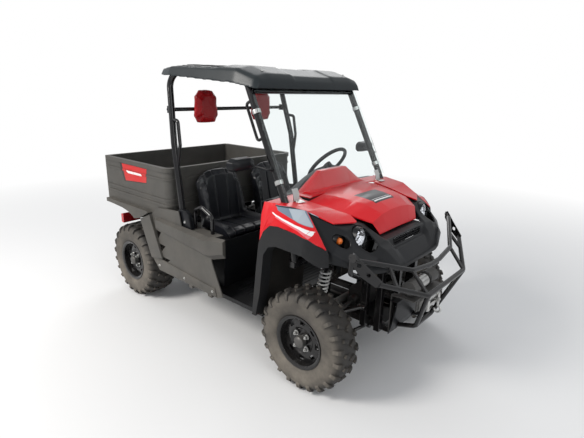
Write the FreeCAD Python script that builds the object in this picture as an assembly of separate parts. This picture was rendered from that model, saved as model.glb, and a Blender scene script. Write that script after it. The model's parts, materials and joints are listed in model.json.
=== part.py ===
import FreeCAD, Part
import math
import os

# A two-seat side-by-side utility vehicle with a tipping bed, in millimetres.
# X points forward, Y to the driver's left, Z up; the ground is Z 0.
# The origin is under the middle of the vehicle's overall box.

# Axles and overall reach
WHEELBASE = 1830.0
FRONT_REACH = 559.0
REAR_REACH = 345.0
FRONT_AXLE_X = (WHEELBASE + REAR_REACH - FRONT_REACH) / 2
REAR_AXLE_X = FRONT_AXLE_X - WHEELBASE

# Tyres and rims
TYRE_R = 310.0
AXLE_Z = TYRE_R
FRONT_TYRE_W = 203.0
REAR_TYRE_W = 254.0
FRONT_WHEEL_Y = 585.0
REAR_WHEEL_Y = 560.0
RIM_SEAT_R = 152.0
RIM_FLANGE_R = 165.0
RIM_WALL = 8.0
FRONT_RIM_HALF = 90.0
REAR_RIM_HALF = 115.0
RIM_FACE_SETBACK = 36.0
TYRE_WALL = 14.0
LUGS = 14
LUG_H = 13.0
LUG_W = 30.0
LUG_SLANT = 14.0
LUG_CHORD = 0.8
WHEEL_SLOTS = 8
SLOT_SIZE = (34.0, 26.0)
SLOT_RING_R = 112.0
NUT_CIRCLE_R = 55.0
NUT_R = 9.0
HUB_R = 34.0

# Spindles, knuckles and arms
SPINDLE_R = 16.0
RUNNING_GAP = 0.4
SEAT_GAP = 0.3
KINGPIN_INSET = 55.0
JOINT_BALL_R = 38.0
UPRIGHT_T = 14.0
UPRIGHT_HALF_W = 30.0
BALL_JOINT_RISE = 100.0
BALL_JOINT_R = 22.0
BALL_JOINT_H = 24.0
EAR_T = 14.0
ARM_TUBE_R = 11.0
ARM_SPREAD = 150.0
BUSH_R = 16.0
BUSH_L = 50.0
STEER_ARM_L = 85.0
RACK_Z = 360.0
RACK_R = 12.0
RACK_HALF = 220.0
TIE_ROD_R = 9.0
TIE_EYE_R = 15.0
TIE_EYE_HALF = 11.0
RACK_HOUSE_R = 24.0
RACK_HOUSE_HALF = 185.0
SPRING_R = 38.0
SPRING_TURNS = 6
DAMPER_R = 17.0
SHAFT_R = 13.0
DIFF_Z = 385.0
DIFF_HALF_L = 55.0
DIFF_HALF_W = 85.0
DIFF_HALF_H = 60.0
PROP_R = 13.0
PROP_Z = 315.0
TRANSFER_X = (REAR_AXLE_X + 400, REAR_AXLE_X + 480)

# Welded frame
FRAME_TUBE = 40.0
FRAME_Z = 295.0
FRAME_TOP = FRAME_Z + FRAME_TUBE
RAIL_Y = 150.0
RAIL_OUT = RAIL_Y + FRAME_TUBE
TOWER_Y = RAIL_OUT + FRAME_TUBE
SILL_Y = 540.0
REAR_DECK_Y = 230.0
REAR_DECK_Z = 640.0
FRONT_DECK_Z = 700.0
RECEIVER = 63.5
RECEIVER_BORE = 50.8
RECEIVER_PIN_R = 8.0
RECEIVER_PIN_SETBACK = 21.0

# Cab
FLOOR_T = 6.0
FLOOR_HALF = 600.0
PANEL_T = 6.0
SEAT_DECK_Z = 700.0
SEAT_BOX_HALF = 530.0
SEAT_Y = 275.0
SEAT_W = 450.0
CAGE_R = 22.0
GLASS_T = 5.0

# Bed
BED_HALF = 655.0
BED_WALL = 25.0
BED_FLOOR_Z = 785.0
BED_FLOOR_T = 18.0
BED_TOP_Z = 1155.0
BED_LENGTH = 890.0
GATE_T = 25.0
BED_PIVOT_X = REAR_AXLE_X - 185.0
BED_PIVOT_Z = 740.0
PIVOT_EAR_R = 20.0
BED_RAIL = 40.0
PIVOT_R = 12.0
MOVE_GAP = 5.0


def front(x):
    """X of a place measured forward from the front axle."""
    return FRONT_AXLE_X + x


def rear(x):
    """X of a place measured forward from the rear axle."""
    return REAR_AXLE_X + x


def vec(x, y, z):
    return FreeCAD.Vector(x, y, z)


def unit(v):
    return FreeCAD.Vector(v).normalize()


def box(x, y, z):
    """Box between two limits on each axis, each given as a pair."""
    return Part.makeBox(x[1] - x[0], y[1] - y[0], z[1] - z[0], vec(x[0], y[0], z[0]))


def rod(a, b, r):
    return Part.makeCylinder(r, (b - a).Length, a, b - a)


def fused(shapes):
    return shapes[0].multiFuse(shapes[1:]).removeSplitter() if len(shapes) > 1 else shapes[0]


def group(shapes):
    return Part.makeCompound(shapes)


def mirrored(shape):
    return shape.mirror(vec(0, 0, 0), vec(0, 1, 0))


def both(shape):
    """The left piece and its mirror on the right."""
    return group([shape, mirrored(shape)])


def face(points):
    return Part.Face(Part.makePolygon(points + [points[0]]))


def side_plate(outline, y):
    """Plate from an outline of (x, z) points, between two Y limits."""
    return face([vec(x, y[0], z) for x, z in outline]).extrude(vec(0, y[1] - y[0], 0))


def loft(sections):
    """Ruled solid through closed outlines given as lists of points."""
    return Part.makeLoft([Part.makePolygon(s + [s[0]]) for s in sections], True, True)


def on_line(rows, x):
    """Values at x on a line through rows of x and values."""
    for a, b in zip(rows, rows[1:]):
        if x <= b[0] or b is rows[-1]:
            share = (x - a[0]) / (b[0] - a[0])
            return [p + (q - p) * share for p, q in zip(a[1:], b[1:])]


def skin(stations, drop):
    """Moulded panel of even thickness through stations of x and (y, z) points along its outer face."""
    sections = []
    for x, line in stations:
        inner = [(y - drop[0], z - drop[1]) for y, z in line]
        sections.append([vec(x, y, z) for y, z in line + inner[::-1]])
    return loft(sections)


def tube(points, r, bend):
    """Round tube on straight runs joined by tangent bends."""
    pieces = []
    start = points[0]
    for before, corner, after in zip(points, points[1:], points[2:]):
        into = unit(corner - before)
        out = unit(after - corner)
        turn = into.getAngle(out)
        shorter = min((corner - before).Length, (after - corner).Length)
        setback = min(bend * math.tan(turn / 2), 0.45 * shorter)
        radius = setback / math.tan(turn / 2)
        begin = corner - into * setback
        centre = corner + unit(out - into) * (radius / math.cos(turn / 2))
        pieces.append(rod(start, begin, r))
        ring = Part.Face(Part.Wire(Part.makeCircle(r, begin, into)))
        pieces.append(ring.revolve(centre, into.cross(out), math.degrees(turn)))
        start = corner + out * setback
    pieces.append(rod(start, points[-1], r))
    return fused(pieces)


def mirrored_path(points):
    """A centred path from its left half, listed from the outside in."""
    return points + [vec(p.x, -p.y, p.z) for p in reversed(points)]


def turned(profile, x, z, y0):
    """Solid of revolution about a wheel's axle, from (offset, radius) points along Y."""
    outline = [vec(x, y0 + offset, z + radius) for offset, radius in profile]
    return face(outline).revolve(vec(x, y0, z), vec(0, 1, 0), 360)


# Wheels
def tyre(x, y, width, rim_half):
    """Hollow tyre on its bead seats, with two staggered rows of lugs over its shoulders."""
    half = width / 2
    bead = rim_half - RIM_WALL - SEAT_GAP
    seat = RIM_SEAT_R
    base = TYRE_R - LUG_H
    outer = [(0.78 * half, base), (half - LUG_H / 2, base - 54), (half - LUG_H / 2, TYRE_R - 110),
             (bead, seat + 14), (bead, seat)]
    inner = [(bead - TYRE_WALL, seat), (half - TYRE_WALL - LUG_H / 2, TYRE_R - 96),
             (0.6 * half, base - TYRE_WALL)]
    right = outer + inner
    left = [(-offset, radius) for offset, radius in reversed(right)]
    carcass = turned(right + left, x, AXLE_Z, y)
    lugs = []
    for n in range(2 * LUGS):
        lugs.append(lug(x, y, half, -1 if n % 2 else 1, n * 180 / LUGS))
    return fused([carcass] + lugs)


def lug(x, y, half, side, angle):
    """One lug from the middle of the tread over the shoulder, at an angle from the ground."""
    tip = TYRE_R - LUG_CHORD
    profile = [(0.06 * half, TYRE_R - LUG_H - 5), (0.06 * half, tip), (0.72 * half, tip),
               (half, tip - 42), (0.9 * half, TYRE_R - LUG_H - 50)]
    outline = face([vec(-LUG_W / 2, side * offset, -radius) for offset, radius in profile])
    bar = outline.extrude(vec(LUG_W, 0, 0))
    bar.rotate(vec(0, 0, 0), vec(0, 0, 1), side * LUG_SLANT)
    bar.rotate(vec(0, 0, 0), vec(0, 1, 0), angle)
    bar.translate(vec(x, y, AXLE_Z))
    return bar


def rim(x, y, half):
    """Steel rim with a slotted dish, its hub, four nuts and a cap, facing outward at +Y."""
    seat = RIM_SEAT_R - RUNNING_GAP
    well = seat - RIM_WALL
    dish = half - RIM_FACE_SETBACK
    barrel = turned([(-half, RIM_FLANGE_R), (-half + RIM_WALL, RIM_FLANGE_R), (-half + RIM_WALL, seat),
                     (half - RIM_WALL, seat), (half - RIM_WALL, RIM_FLANGE_R), (half, RIM_FLANGE_R),
                     (half, RIM_FLANGE_R - RIM_WALL), (half - RIM_WALL, well),
                     (-half + RIM_WALL, well), (-half, RIM_FLANGE_R - RIM_WALL)], x, AXLE_Z, y)
    plate = turned([(dish - 16, well + 2), (dish - 8, well + 2), (dish + 2, 84), (dish - 8, 70),
                    (dish - 8, HUB_R), (dish - 16, HUB_R), (dish - 16, 70), (dish - 6, 84)],
                   x, AXLE_Z, y)
    for n in range(WHEEL_SLOTS):
        slot = box((SLOT_RING_R - SLOT_SIZE[1] / 2, SLOT_RING_R + SLOT_SIZE[1] / 2),
                   (y + dish - 30, y + dish + 10), (-SLOT_SIZE[0] / 2, SLOT_SIZE[0] / 2))
        slot.rotate(vec(0, 0, 0), vec(0, 1, 0), n * 360 / WHEEL_SLOTS)
        slot.translate(vec(x, 0, AXLE_Z))
        plate = plate.cut(slot)
    hub_inner = hub_start(y) - y + SEAT_GAP
    bore = SPINDLE_R + RUNNING_GAP
    hub = turned([(hub_inner, bore), (hub_inner, HUB_R), (dish + 10, HUB_R), (dish + 14, HUB_R - 8),
                  (dish + 14, 0), (dish + 6, 0), (dish + 6, bore)], x, AXLE_Z, y)
    nuts = []
    for n in range(4):
        angle = math.radians(45 + 90 * n)
        nut = vec(x + NUT_CIRCLE_R * math.cos(angle), y + dish - 9, AXLE_Z + NUT_CIRCLE_R * math.sin(angle))
        nuts.append(Part.makeCylinder(NUT_R, 15, nut, vec(0, 1, 0)))
    return fused([barrel, plate, hub] + nuts)


def joint_y(wheel_y):
    return wheel_y - KINGPIN_INSET


def hub_start(wheel_y):
    """Y of the upright's outer face, where the hub begins."""
    return joint_y(wheel_y) + JOINT_BALL_R + SEAT_GAP + UPRIGHT_T


# Front and rear uprights
def upright(x, wheel_y, half, steered):
    """Upright with two ball-joint ears and the spindle that the hub turns on."""
    pin_y = joint_y(wheel_y)
    out_y = hub_start(wheel_y)
    in_y = out_y - UPRIGHT_T
    ear_rise = BALL_JOINT_RISE - BALL_JOINT_H / 2 - SEAT_GAP
    plate = box((x - UPRIGHT_HALF_W, x + UPRIGHT_HALF_W), (in_y, out_y),
                (AXLE_Z - ear_rise, AXLE_Z + ear_rise))
    pieces = [plate]
    for low in (AXLE_Z + ear_rise - EAR_T, AXLE_Z - ear_rise):
        pieces.append(Part.makeCylinder(BALL_JOINT_R, EAR_T, vec(x, pin_y, low), vec(0, 0, 1)))
        pieces.append(box((x - BALL_JOINT_R, x + BALL_JOINT_R), (pin_y, in_y), (low, low + EAR_T)))
    spindle_end = wheel_y + half - RIM_FACE_SETBACK + 4
    pieces.append(rod(vec(x, in_y + 2, AXLE_Z), vec(x, spindle_end, AXLE_Z), SPINDLE_R))
    if steered:
        top = RACK_Z - TIE_EYE_HALF - SEAT_GAP
        low = top - 12
        pieces.append(box((x - STEER_ARM_L - 12, x), (in_y, out_y), (low, top)))
        pieces.append(box((x - STEER_ARM_L - 12, x - STEER_ARM_L + 12), (pin_y, in_y), (low, top)))
        pieces.append(Part.makeCylinder(12, top - low, vec(x - STEER_ARM_L, pin_y, low), vec(0, 0, 1)))
    return fused(pieces)


def wishbone(x, pin_y, joint_z, leg_z, pivot_y, pivot_z):
    """A-shaped arm from its ball-joint socket to two bushes on the frame."""
    low = joint_z - BALL_JOINT_H / 2
    pieces = [Part.makeCylinder(BALL_JOINT_R, BALL_JOINT_H, vec(x, pin_y, low), vec(0, 0, 1))]
    for side in (-1, 1):
        bush_x = x + side * ARM_SPREAD
        outer = vec(x + side * 8, pin_y - 12, leg_z)
        pieces.append(rod(outer, vec(bush_x, pivot_y, pivot_z), ARM_TUBE_R))
        pieces.append(rod(vec(bush_x - BUSH_L / 2, pivot_y, pivot_z),
                          vec(bush_x + BUSH_L / 2, pivot_y, pivot_z), BUSH_R))
    return fused(pieces)


def arms(x, wheel_y):
    """Upper and lower wishbones of the left side."""
    pin_y = joint_y(wheel_y)
    pivot_y = TOWER_Y + BUSH_R + SEAT_GAP
    high = AXLE_Z + BALL_JOINT_RISE
    low = AXLE_Z - BALL_JOINT_RISE
    upper = wishbone(x, pin_y, high, high + 1, pivot_y, high + 20)
    lower = wishbone(x, pin_y, low, low - 4, RAIL_OUT - FRAME_TUBE / 2, FRAME_Z - BUSH_R - SEAT_GAP)
    return [upper, lower]


SHOCK_Y = 362.0
SHOCK_TOP_Y = 345.0
SHOCK_EYE_R = 13.0
SHOCK_PLATE_Z = FRONT_DECK_Z + 15.0


def shock_ends(x, wheel_y):
    """Lower eye above the upper arm's rear leg, and upper end under the frame's bracket."""
    outer = vec(x - 8, joint_y(wheel_y) - 12, AXLE_Z + BALL_JOINT_RISE + 1)
    inner = vec(x - ARM_SPREAD, TOWER_Y + BUSH_R + SEAT_GAP, AXLE_Z + BALL_JOINT_RISE + 20)
    share = (outer.y - SHOCK_Y) / (outer.y - inner.y)
    foot = outer + (inner - outer) * share
    foot.z += ARM_TUBE_R + SHOCK_EYE_R + SEAT_GAP
    return foot, vec(foot.x + 40, SHOCK_TOP_Y, SHOCK_PLATE_Z - SHOCK_EYE_R - SEAT_GAP)


def damper(x, wheel_y):
    foot, top = shock_ends(x, wheel_y)
    along = unit(top - foot)
    seat = top - along * 40
    pieces = [rod(foot, top - along * 8, DAMPER_R - 5), rod(foot, foot + along * 110, DAMPER_R),
              rod(foot + along * 30, foot + along * 36, SPRING_R - 2),
              rod(seat, seat + along * 6, SPRING_R - 2)]
    for end in (foot, top):
        pieces.append(rod(end - vec(14, 0, 0), end + vec(14, 0, 0), SHOCK_EYE_R))
    return fused(pieces)


def spring(x, wheel_y):
    """Coils between the damper's two seats, as a stack of rounded rings."""
    foot, top = shock_ends(x, wheel_y)
    along = unit(top - foot)
    low = foot + along * (36 + SEAT_GAP)
    length = (top - foot).Length - 40 - 36 - 2 * SEAT_GAP
    pitch = length / SPRING_TURNS
    outline = []
    for turn in range(SPRING_TURNS):
        base = turn * pitch
        outline += [(SPRING_R - 9, base), (SPRING_R, base + 0.2 * pitch), (SPRING_R, base + 0.6 * pitch),
                    (SPRING_R - 9, base + 0.8 * pitch)]
    outline.append((SPRING_R - 9, length))
    outline += [(SPRING_R - 14, length), (SPRING_R - 14, 0)]
    solid = face([vec(r, 0, z) for r, z in outline]).revolve(vec(0, 0, 0), vec(0, 0, 1), 360)
    solid.Placement = FreeCAD.Placement(low, FreeCAD.Rotation(vec(0, 0, 1), along))
    return solid


# Frame of straight tubes, each seated a weld's gap from the next
FRAME_BACK = REAR_AXLE_X - 270
FRAME_NOSE = FRONT_AXLE_X + 310
MEMBER_REAR = REAR_AXLE_X + 680
MEMBER_FRONT = FRONT_AXLE_X - 425
FRONT_POST_X = FRONT_AXLE_X - 420
LEVEL = (FRAME_Z, FRAME_TOP)
FRONT_DECK = (FRONT_DECK_Z, FRONT_DECK_Z + FRAME_TUBE)
REAR_DECK = (REAR_DECK_Z, REAR_DECK_Z + FRAME_TUBE)


def both_bars(bars):
    """Left-hand bars given as x, y and z limits, with their mirrors."""
    left = [box(x, y, z) for x, y, z in bars]
    return left + [mirrored(bar) for bar in left]


def chassis_frame():
    """Ladder of twin rails, cross members and sills, with the hitch receiver at the back."""
    outer = (RAIL_OUT + SEAT_GAP, SILL_Y - SEAT_GAP)
    sides = both_bars([
        ((FRAME_BACK, FRAME_NOSE), (RAIL_Y, RAIL_OUT), LEVEL),
        ((rear(400), MEMBER_FRONT + FRAME_TUBE), (SILL_Y, SILL_Y + FRAME_TUBE), LEVEL),
        ((MEMBER_REAR, MEMBER_REAR + FRAME_TUBE), outer, LEVEL),
        ((MEMBER_FRONT, MEMBER_FRONT + FRAME_TUBE), outer, LEVEL),
        ((FRAME_BACK, FRAME_BACK + FRAME_TUBE), (outer[0], REAR_DECK_Y + FRAME_TUBE), LEVEL),
    ])
    half = RAIL_Y - SEAT_GAP
    middle = [box((x, x + FRAME_TUBE), (-half, half), LEVEL) for x in (FRAME_BACK, FRAME_NOSE - FRAME_TUBE)]
    strap = (FRAME_Z, PROP_Z - PROP_R - 2)
    middle += [box((x, x + FRAME_TUBE), (-half, half), strap) for x in (MEMBER_REAR, MEMBER_FRONT)]
    return group(sides + middle + [receiver()])


def receiver():
    """Square hitch receiver with its cross pin's hole."""
    half = RECEIVER / 2
    middle_z = FRAME_TOP - half
    bore = RECEIVER_BORE / 2
    mouth = rear(-REAR_REACH)
    body = box((mouth, FRAME_BACK - SEAT_GAP), (-half, half), (FRAME_TOP - RECEIVER, FRAME_TOP))
    body = body.cut(box((mouth - 1, FRAME_BACK - 6), (-bore, bore), (middle_z - bore, middle_z + bore)))
    pin_x = mouth + RECEIVER_PIN_SETBACK
    pin = rod(vec(pin_x, -RECEIVER, middle_z), vec(pin_x, RECEIVER, middle_z), RECEIVER_PIN_R)
    return body.cut(pin)


def front_subframe():
    """Posts and deck over the front axle, with the shock and cage brackets."""
    tower = (RAIL_OUT + SEAT_GAP, TOWER_Y)
    top = FRONT_DECK_Z - SEAT_GAP
    out = TOWER_Y + SEAT_GAP
    shock_x = shock_ends(FRONT_AXLE_X, FRONT_WHEEL_Y)[1].x
    bars = [((FRONT_POST_X, FRONT_POST_X + FRAME_TUBE), tower, (FRAME_TOP + SEAT_GAP, top))]
    for x in (front(-ARM_SPREAD) - 20, front(ARM_SPREAD) - 20, FRAME_NOSE - 2 * FRAME_TUBE):
        bars.append(((x, x + FRAME_TUBE), tower, (FRAME_Z, top)))
    bars.append(((FRONT_POST_X, FRAME_NOSE - FRAME_TUBE), tower, FRONT_DECK))
    bars.append(((PILLAR_FOOT_X - 20, PILLAR_FOOT_X + 20), (out, PILLAR_FOOT_Y + 25), FRONT_DECK))
    bars.append(((shock_x - 22, shock_x + 22), (out, SHOCK_TOP_Y + 18), (SHOCK_PLATE_Z, SHOCK_PLATE_Z + 8)))
    cross = box((FRONT_POST_X, FRONT_POST_X + FRAME_TUBE), (-RAIL_OUT, RAIL_OUT), FRONT_DECK)
    return group(both_bars(bars) + [cross])


def rear_subframe():
    """Posts, towers and decks round the rear axle, with the shock brackets and the bed's pivot ears."""
    deck = (REAR_DECK_Y, REAR_DECK_Y + FRAME_TUBE)
    tower = (RAIL_OUT + SEAT_GAP, REAR_DECK_Y - SEAT_GAP)
    post_z = (FRAME_TOP + SEAT_GAP, REAR_DECK_Z - SEAT_GAP)
    shock_x = shock_ends(REAR_AXLE_X, REAR_WHEEL_Y)[1].x
    bars = [((FRAME_BACK, MEMBER_REAR + FRAME_TUBE), deck, REAR_DECK)]
    for x in (FRAME_BACK, MEMBER_REAR):
        bars.append(((x, x + FRAME_TUBE), deck, post_z))
    for x in (rear(-ARM_SPREAD) - 20, rear(ARM_SPREAD) - 20):
        bars.append(((x, x + FRAME_TUBE), tower, (FRAME_Z, REAR_DECK[1])))
    bars.append(((shock_x - 22, shock_x + 22), deck, (REAR_DECK[1] + SEAT_GAP, SHOCK_PLATE_Z - SEAT_GAP)))
    bars.append(((shock_x - 22, shock_x + 22), (REAR_DECK_Y, SHOCK_TOP_Y + 18),
                 (SHOCK_PLATE_Z, SHOCK_PLATE_Z + 8)))
    ear_y = (REAR_DECK_Y, REAR_DECK_Y + 8)
    ear = box((BED_PIVOT_X - PIVOT_EAR_R, BED_PIVOT_X + PIVOT_EAR_R), ear_y,
              (REAR_DECK[1] + SEAT_GAP, BED_PIVOT_Z))
    ear = ear.fuse(rod(vec(BED_PIVOT_X, ear_y[0], BED_PIVOT_Z), vec(BED_PIVOT_X, ear_y[1], BED_PIVOT_Z),
                       PIVOT_EAR_R))
    ear = ear.cut(rod(vec(BED_PIVOT_X, ear_y[0] - 1, BED_PIVOT_Z),
                      vec(BED_PIVOT_X, ear_y[1] + 1, BED_PIVOT_Z),
                      PIVOT_R + RUNNING_GAP))
    return group(both_bars(bars) + [ear, mirrored(ear)])


# Roll cage, from the left front foot over the roof to the left rear foot
PILLAR_FOOT_X = front(-150)
PILLAR_FOOT_Y = 545.0
PILLAR_BASE = vec(front(-222), 541, 1050)
PILLAR_TOP = vec(front(-583), 521, 1775)
RAIL_END = vec(rear(505), 552, 1815)
REAR_KNEE = vec(rear(610), 612, 1336)
REAR_LOW = vec(rear(680), 618, 858)
REAR_FOOT = vec(rear(690), 560, FRAME_TOP)
CROSSBAR = vec(rear(515), 580, 1560)
CROSSBAR_R = 14.0


def between(a, b, share):
    return a + (b - a) * share


def roll_cage():
    foot = vec(PILLAR_FOOT_X, PILLAR_FOOT_Y, FRONT_DECK_Z + FRAME_TUBE)
    side = tube([foot, PILLAR_BASE, PILLAR_TOP, RAIL_END, REAR_KNEE, REAR_LOW, REAR_FOOT], CAGE_R, 90)
    guide = tube([between(RAIL_END, REAR_KNEE, 0.66), vec(rear(650), 600, 1490), vec(rear(672), 606, 1330),
                  between(REAR_KNEE, REAR_LOW, 0.4)], CROSSBAR_R - 2, 20)
    knee = between(RAIL_END, REAR_KNEE, (RAIL_END.z - CROSSBAR.z) / (RAIL_END.z - REAR_KNEE.z))
    plate = box((CROSSBAR.x - 16, knee.x), (CROSSBAR.y - 10, CROSSBAR.y), (CROSSBAR.z - 24, CROSSBAR.z + 24))
    plate_foot = box((CROSSBAR.x - 16, knee.x), (CROSSBAR.y - 10, knee.y), (CROSSBAR.z - 6, CROSSBAR.z + 6))
    feet = [box((p.x - 28, p.x + 28), (p.y - 20, p.y + 20), (p.z, p.z + 6)) for p in (foot, REAR_FOOT)]
    for p in (foot, REAR_FOOT):
        side = side.cut(box((p.x - 60, p.x + 60), (p.y - 60, p.y + 60), (p.z - 60, p.z)))
    left = [side, guide, plate, plate_foot] + feet
    cross = []
    pillar_slope = (PILLAR_TOP.x - PILLAR_BASE.x) / (PILLAR_TOP.z - PILLAR_BASE.z)
    header = vec(PILLAR_TOP.x - 75 * pillar_slope, 521, PILLAR_TOP.z - 75)
    for point in (header, between(PILLAR_TOP, RAIL_END, 0.5), between(PILLAR_TOP, RAIL_END, 0.94)):
        cross.append(rod(vec(point.x, -point.y, point.z), point, CAGE_R - 4))
    cross.append(rod(vec(CROSSBAR.x, -CROSSBAR.y, CROSSBAR.z), CROSSBAR, CROSSBAR_R))
    return fused(left + [mirrored(s) for s in left] + cross)


# Roof sections: x, half width, skirt Z, shoulder half width, shoulder Z, crown half width, crown Z
ROOF_SECTIONS = [
    (rear(352), 400, 1802, 380, 1807, 250, 1813),
    (rear(372), 500, 1796, 470, 1816, 330, 1830),
    (rear(420), 566, 1789, 540, 1836, 400, 1850),
    (rear(560), 598, 1784, 574, 1846, 420, 1869),
    (front(-640), 577, 1738, 551, 1819, 420, 1842),
    (front(-500), 556, 1712, 530, 1772, 420, 1796),
    (front(-470), 540, 1708, 512, 1748, 420, 1760),
]
ROOF_T = 5.0
ROOF_PADS = (0.12, 0.5, 0.88)
# Raised front panels: x, rise above the shell
ROOF_PANEL = [(front(-474), 7), (front(-500), 7), (front(-640), 7), (front(-800), 7), (front(-860), -1)]
ROOF_PANEL_IN = 200.0


def roof_panel():
    """Raised left panel on the front of the roof."""
    sections = []
    for x, rise in ROOF_PANEL:
        half, skirt_z, shoulder, shoulder_z, crown, crown_z = on_line(ROOF_SECTIONS, x)
        out = shoulder - 14
        out_z = crown_z + (shoulder_z - crown_z) * (out - crown) / (shoulder - crown)
        sections.append([vec(x, ROOF_PANEL_IN - 4, crown_z - 3), vec(x, ROOF_PANEL_IN + 4, crown_z + rise),
                         vec(x, crown, crown_z + rise), vec(x, out, out_z + rise),
                         vec(x, out + 6, out_z - 4)])
    return loft(sections)


def roof():
    """Moulded roof shell, open below, with skirts outside the cage's rails."""
    outer, inner = [], []
    for x, half, skirt_z, shoulder, shoulder_z, crown, crown_z in ROOF_SECTIONS:
        left = [(half, skirt_z), (shoulder, shoulder_z), (crown, crown_z)]
        line = left + [(-y, z) for y, z in reversed(left)]
        outer.append([vec(x, y, z) for y, z in line])
        step = [(half - ROOF_T, skirt_z - 20), (shoulder - ROOF_T, shoulder_z - ROOF_T),
                (crown, crown_z - ROOF_T)]
        line = step + [(-y, z) for y, z in reversed(step)]
        inner.append([vec(x, y, z) for y, z in line])
    for end, shift in ((0, ROOF_T), (-1, -ROOF_T)):
        inner[end] = [p + vec(shift, 0, 0) for p in inner[end]]
    solid = loft(outer)
    shell = solid.cut(loft(inner))
    pads = []
    for share in ROOF_PADS:
        p = between(PILLAR_TOP, RAIL_END, share)
        for side in (-1, 1):
            y = side * p.y
            pad = box((p.x - 20, p.x + 20), (y - 14, y + 14), (p.z + CAGE_R + SEAT_GAP + 1, p.z + 200))
            pads.append(pad.common(solid))
    panel = roof_panel()
    return fused([shell, panel, mirrored(panel)] + pads)


# Windshield, parallel to the pillars and just ahead of them
GLASS_BOTTOM_Z = 1105.0
GLASS_TOP_Z = 1742.0
GLASS_HALF = 560.0


def pillar_at(z):
    share = (z - PILLAR_BASE.z) / (PILLAR_TOP.z - PILLAR_BASE.z)
    return between(PILLAR_BASE, PILLAR_TOP, share)


def pillar_normal():
    along = PILLAR_TOP - PILLAR_BASE
    return unit(vec(along.z, 0, -along.x))


def windshield():
    ahead = pillar_normal() * (CAGE_R + CLAMP_T + SEAT_GAP)
    corners = []
    for z, half in ((GLASS_BOTTOM_Z, GLASS_HALF), (GLASS_TOP_Z - 60, GLASS_HALF - 18),
                    (GLASS_TOP_Z, GLASS_HALF - 70)):
        corners.append(vec(pillar_at(z).x, half, z) + ahead)
    outline = corners + [vec(p.x, -p.y, p.z) for p in reversed(corners)]
    return face(outline).extrude(pillar_normal() * GLASS_T)


CLAMP_T = 4.0
CLAMP_H = 26.0
CLAMP_Z = (1186.0, 1580.0)
BRACKET_Y = 463.0
BRACKET_FALL = 5.5
WING_AT_BRACKET_Z = 1080.2


def windshield_clamps():
    """Ring clamps round the pillars, and the two folded brackets at the foot of the screen."""
    pieces = []
    along = unit(PILLAR_TOP - PILLAR_BASE)
    for z in CLAMP_Z:
        start = pillar_at(z) - along * (CLAMP_H / 2)
        ring = rod(start, start + along * CLAMP_H, CAGE_R + CLAMP_T)
        ring = ring.cut(rod(start - along, start + along * (CLAMP_H + 1), CAGE_R + SEAT_GAP))
        pieces.append(ring)
    ahead = pillar_normal()
    g = pillar_at(GLASS_BOTTOM_Z) + ahead * (CAGE_R + CLAMP_T + SEAT_GAP + GLASS_T + SEAT_GAP)
    low = WING_AT_BRACKET_Z + SEAT_GAP
    tall = along * 34
    outline = [g + tall, g, vec(g.x + 2, 0, low), vec(g.x + 54, 0, low - BRACKET_FALL),
               vec(g.x + 54, 0, low - BRACKET_FALL + 4), vec(g.x + 9, 0, low + 5), g + ahead * 4,
               g + ahead * 4 + tall]
    tab = side_plate([(p.x, p.z) for p in outline], (BRACKET_Y - 26, BRACKET_Y + 26))
    pieces.append(tab)
    return group(pieces + [mirrored(p) for p in pieces])


# Red bodywork
# Wing stations: x, crease y, crease z, outer edge y, outer edge z
WING = [
    (front(-326), 345, 1088, 608, 1078),
    (front(-222), 400, 1077, 600, 1083),
    (front(-56), 374, 1055, 563, 1068),
    (front(88), 341, 1031, 504, 1014),
    (front(150), 366, 1010, 384, 1008),
]
# Top edge of the front arch, from its leg to its tip, in (x, z)
ARCH_TOP = [
    (front(-295), 858), (front(-257), 933), (front(-209), 976), (front(-150), 984), (front(-26), 973),
    (front(60), 955), (front(100), 930), (front(140), 904), (front(152), 880),
]
# How far out the arch stands, from its leg to its tip, where it turns in to the nose
ARCH_PLAN = [
    (front(-360), 700), (front(30), 700), (front(60), 692), (front(100), 672), (front(140), 641),
    (front(170), 606),
]
FLARE_OUT = 700.0
FLARE_IN = 622.0
# Front tip and rear low corner of the red side: x, y, z
FENDER_TIP = (front(140), 636, 910)
FENDER_REAR = (front(-338), 634, 1004)
COWL_REAR_Z = 1090.0
BUMP_Z = 1208.0
BUMP_HALF = 140.0
# Cowl stations: x, rise of the bump above the cowl
COWL = [(front(-326), 1.0), (front(-290), 1.0), (front(-240), 0.05), (front(-190), 0.0)]
PILLAR_HOLE = 2.0


def pillar_hole():
    """Room round the left pillar where it passes a panel."""
    along = unit(PILLAR_TOP - PILLAR_BASE)
    foot = vec(PILLAR_FOOT_X, PILLAR_FOOT_Y, FRONT_DECK_Z + FRAME_TUBE)
    r = CAGE_R + PILLAR_HOLE
    upper = rod(PILLAR_BASE - along * 10, PILLAR_BASE + along * 120, r)
    return upper.fuse(rod(foot, PILLAR_BASE, r)).fuse(Part.makeSphere(r, PILLAR_BASE))


def fender_side():
    """Red side between the wing's outer edge and the front arch."""
    edge = [(x, oy, oz) for x, cy, cz, oy, oz in WING[:3]] + [FENDER_TIP]
    stations = sorted({x for x, z in ARCH_TOP[:-1]} | {row[0] for row in WING[1:3]} | {ARCH_PLAN[1][0]})
    rows = [(FENDER_REAR[0], [tuple(on_line(edge, FENDER_REAR[0])), FENDER_REAR[1:]])]
    for x in stations:
        foot = on_line(ARCH_TOP, x)[0] + SEAT_GAP
        rows.append((x, [tuple(on_line(edge, x)), (on_line(ARCH_PLAN, x)[0] - 6, foot)]))
    return skin(rows, (PANEL_T, 0))


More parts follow.
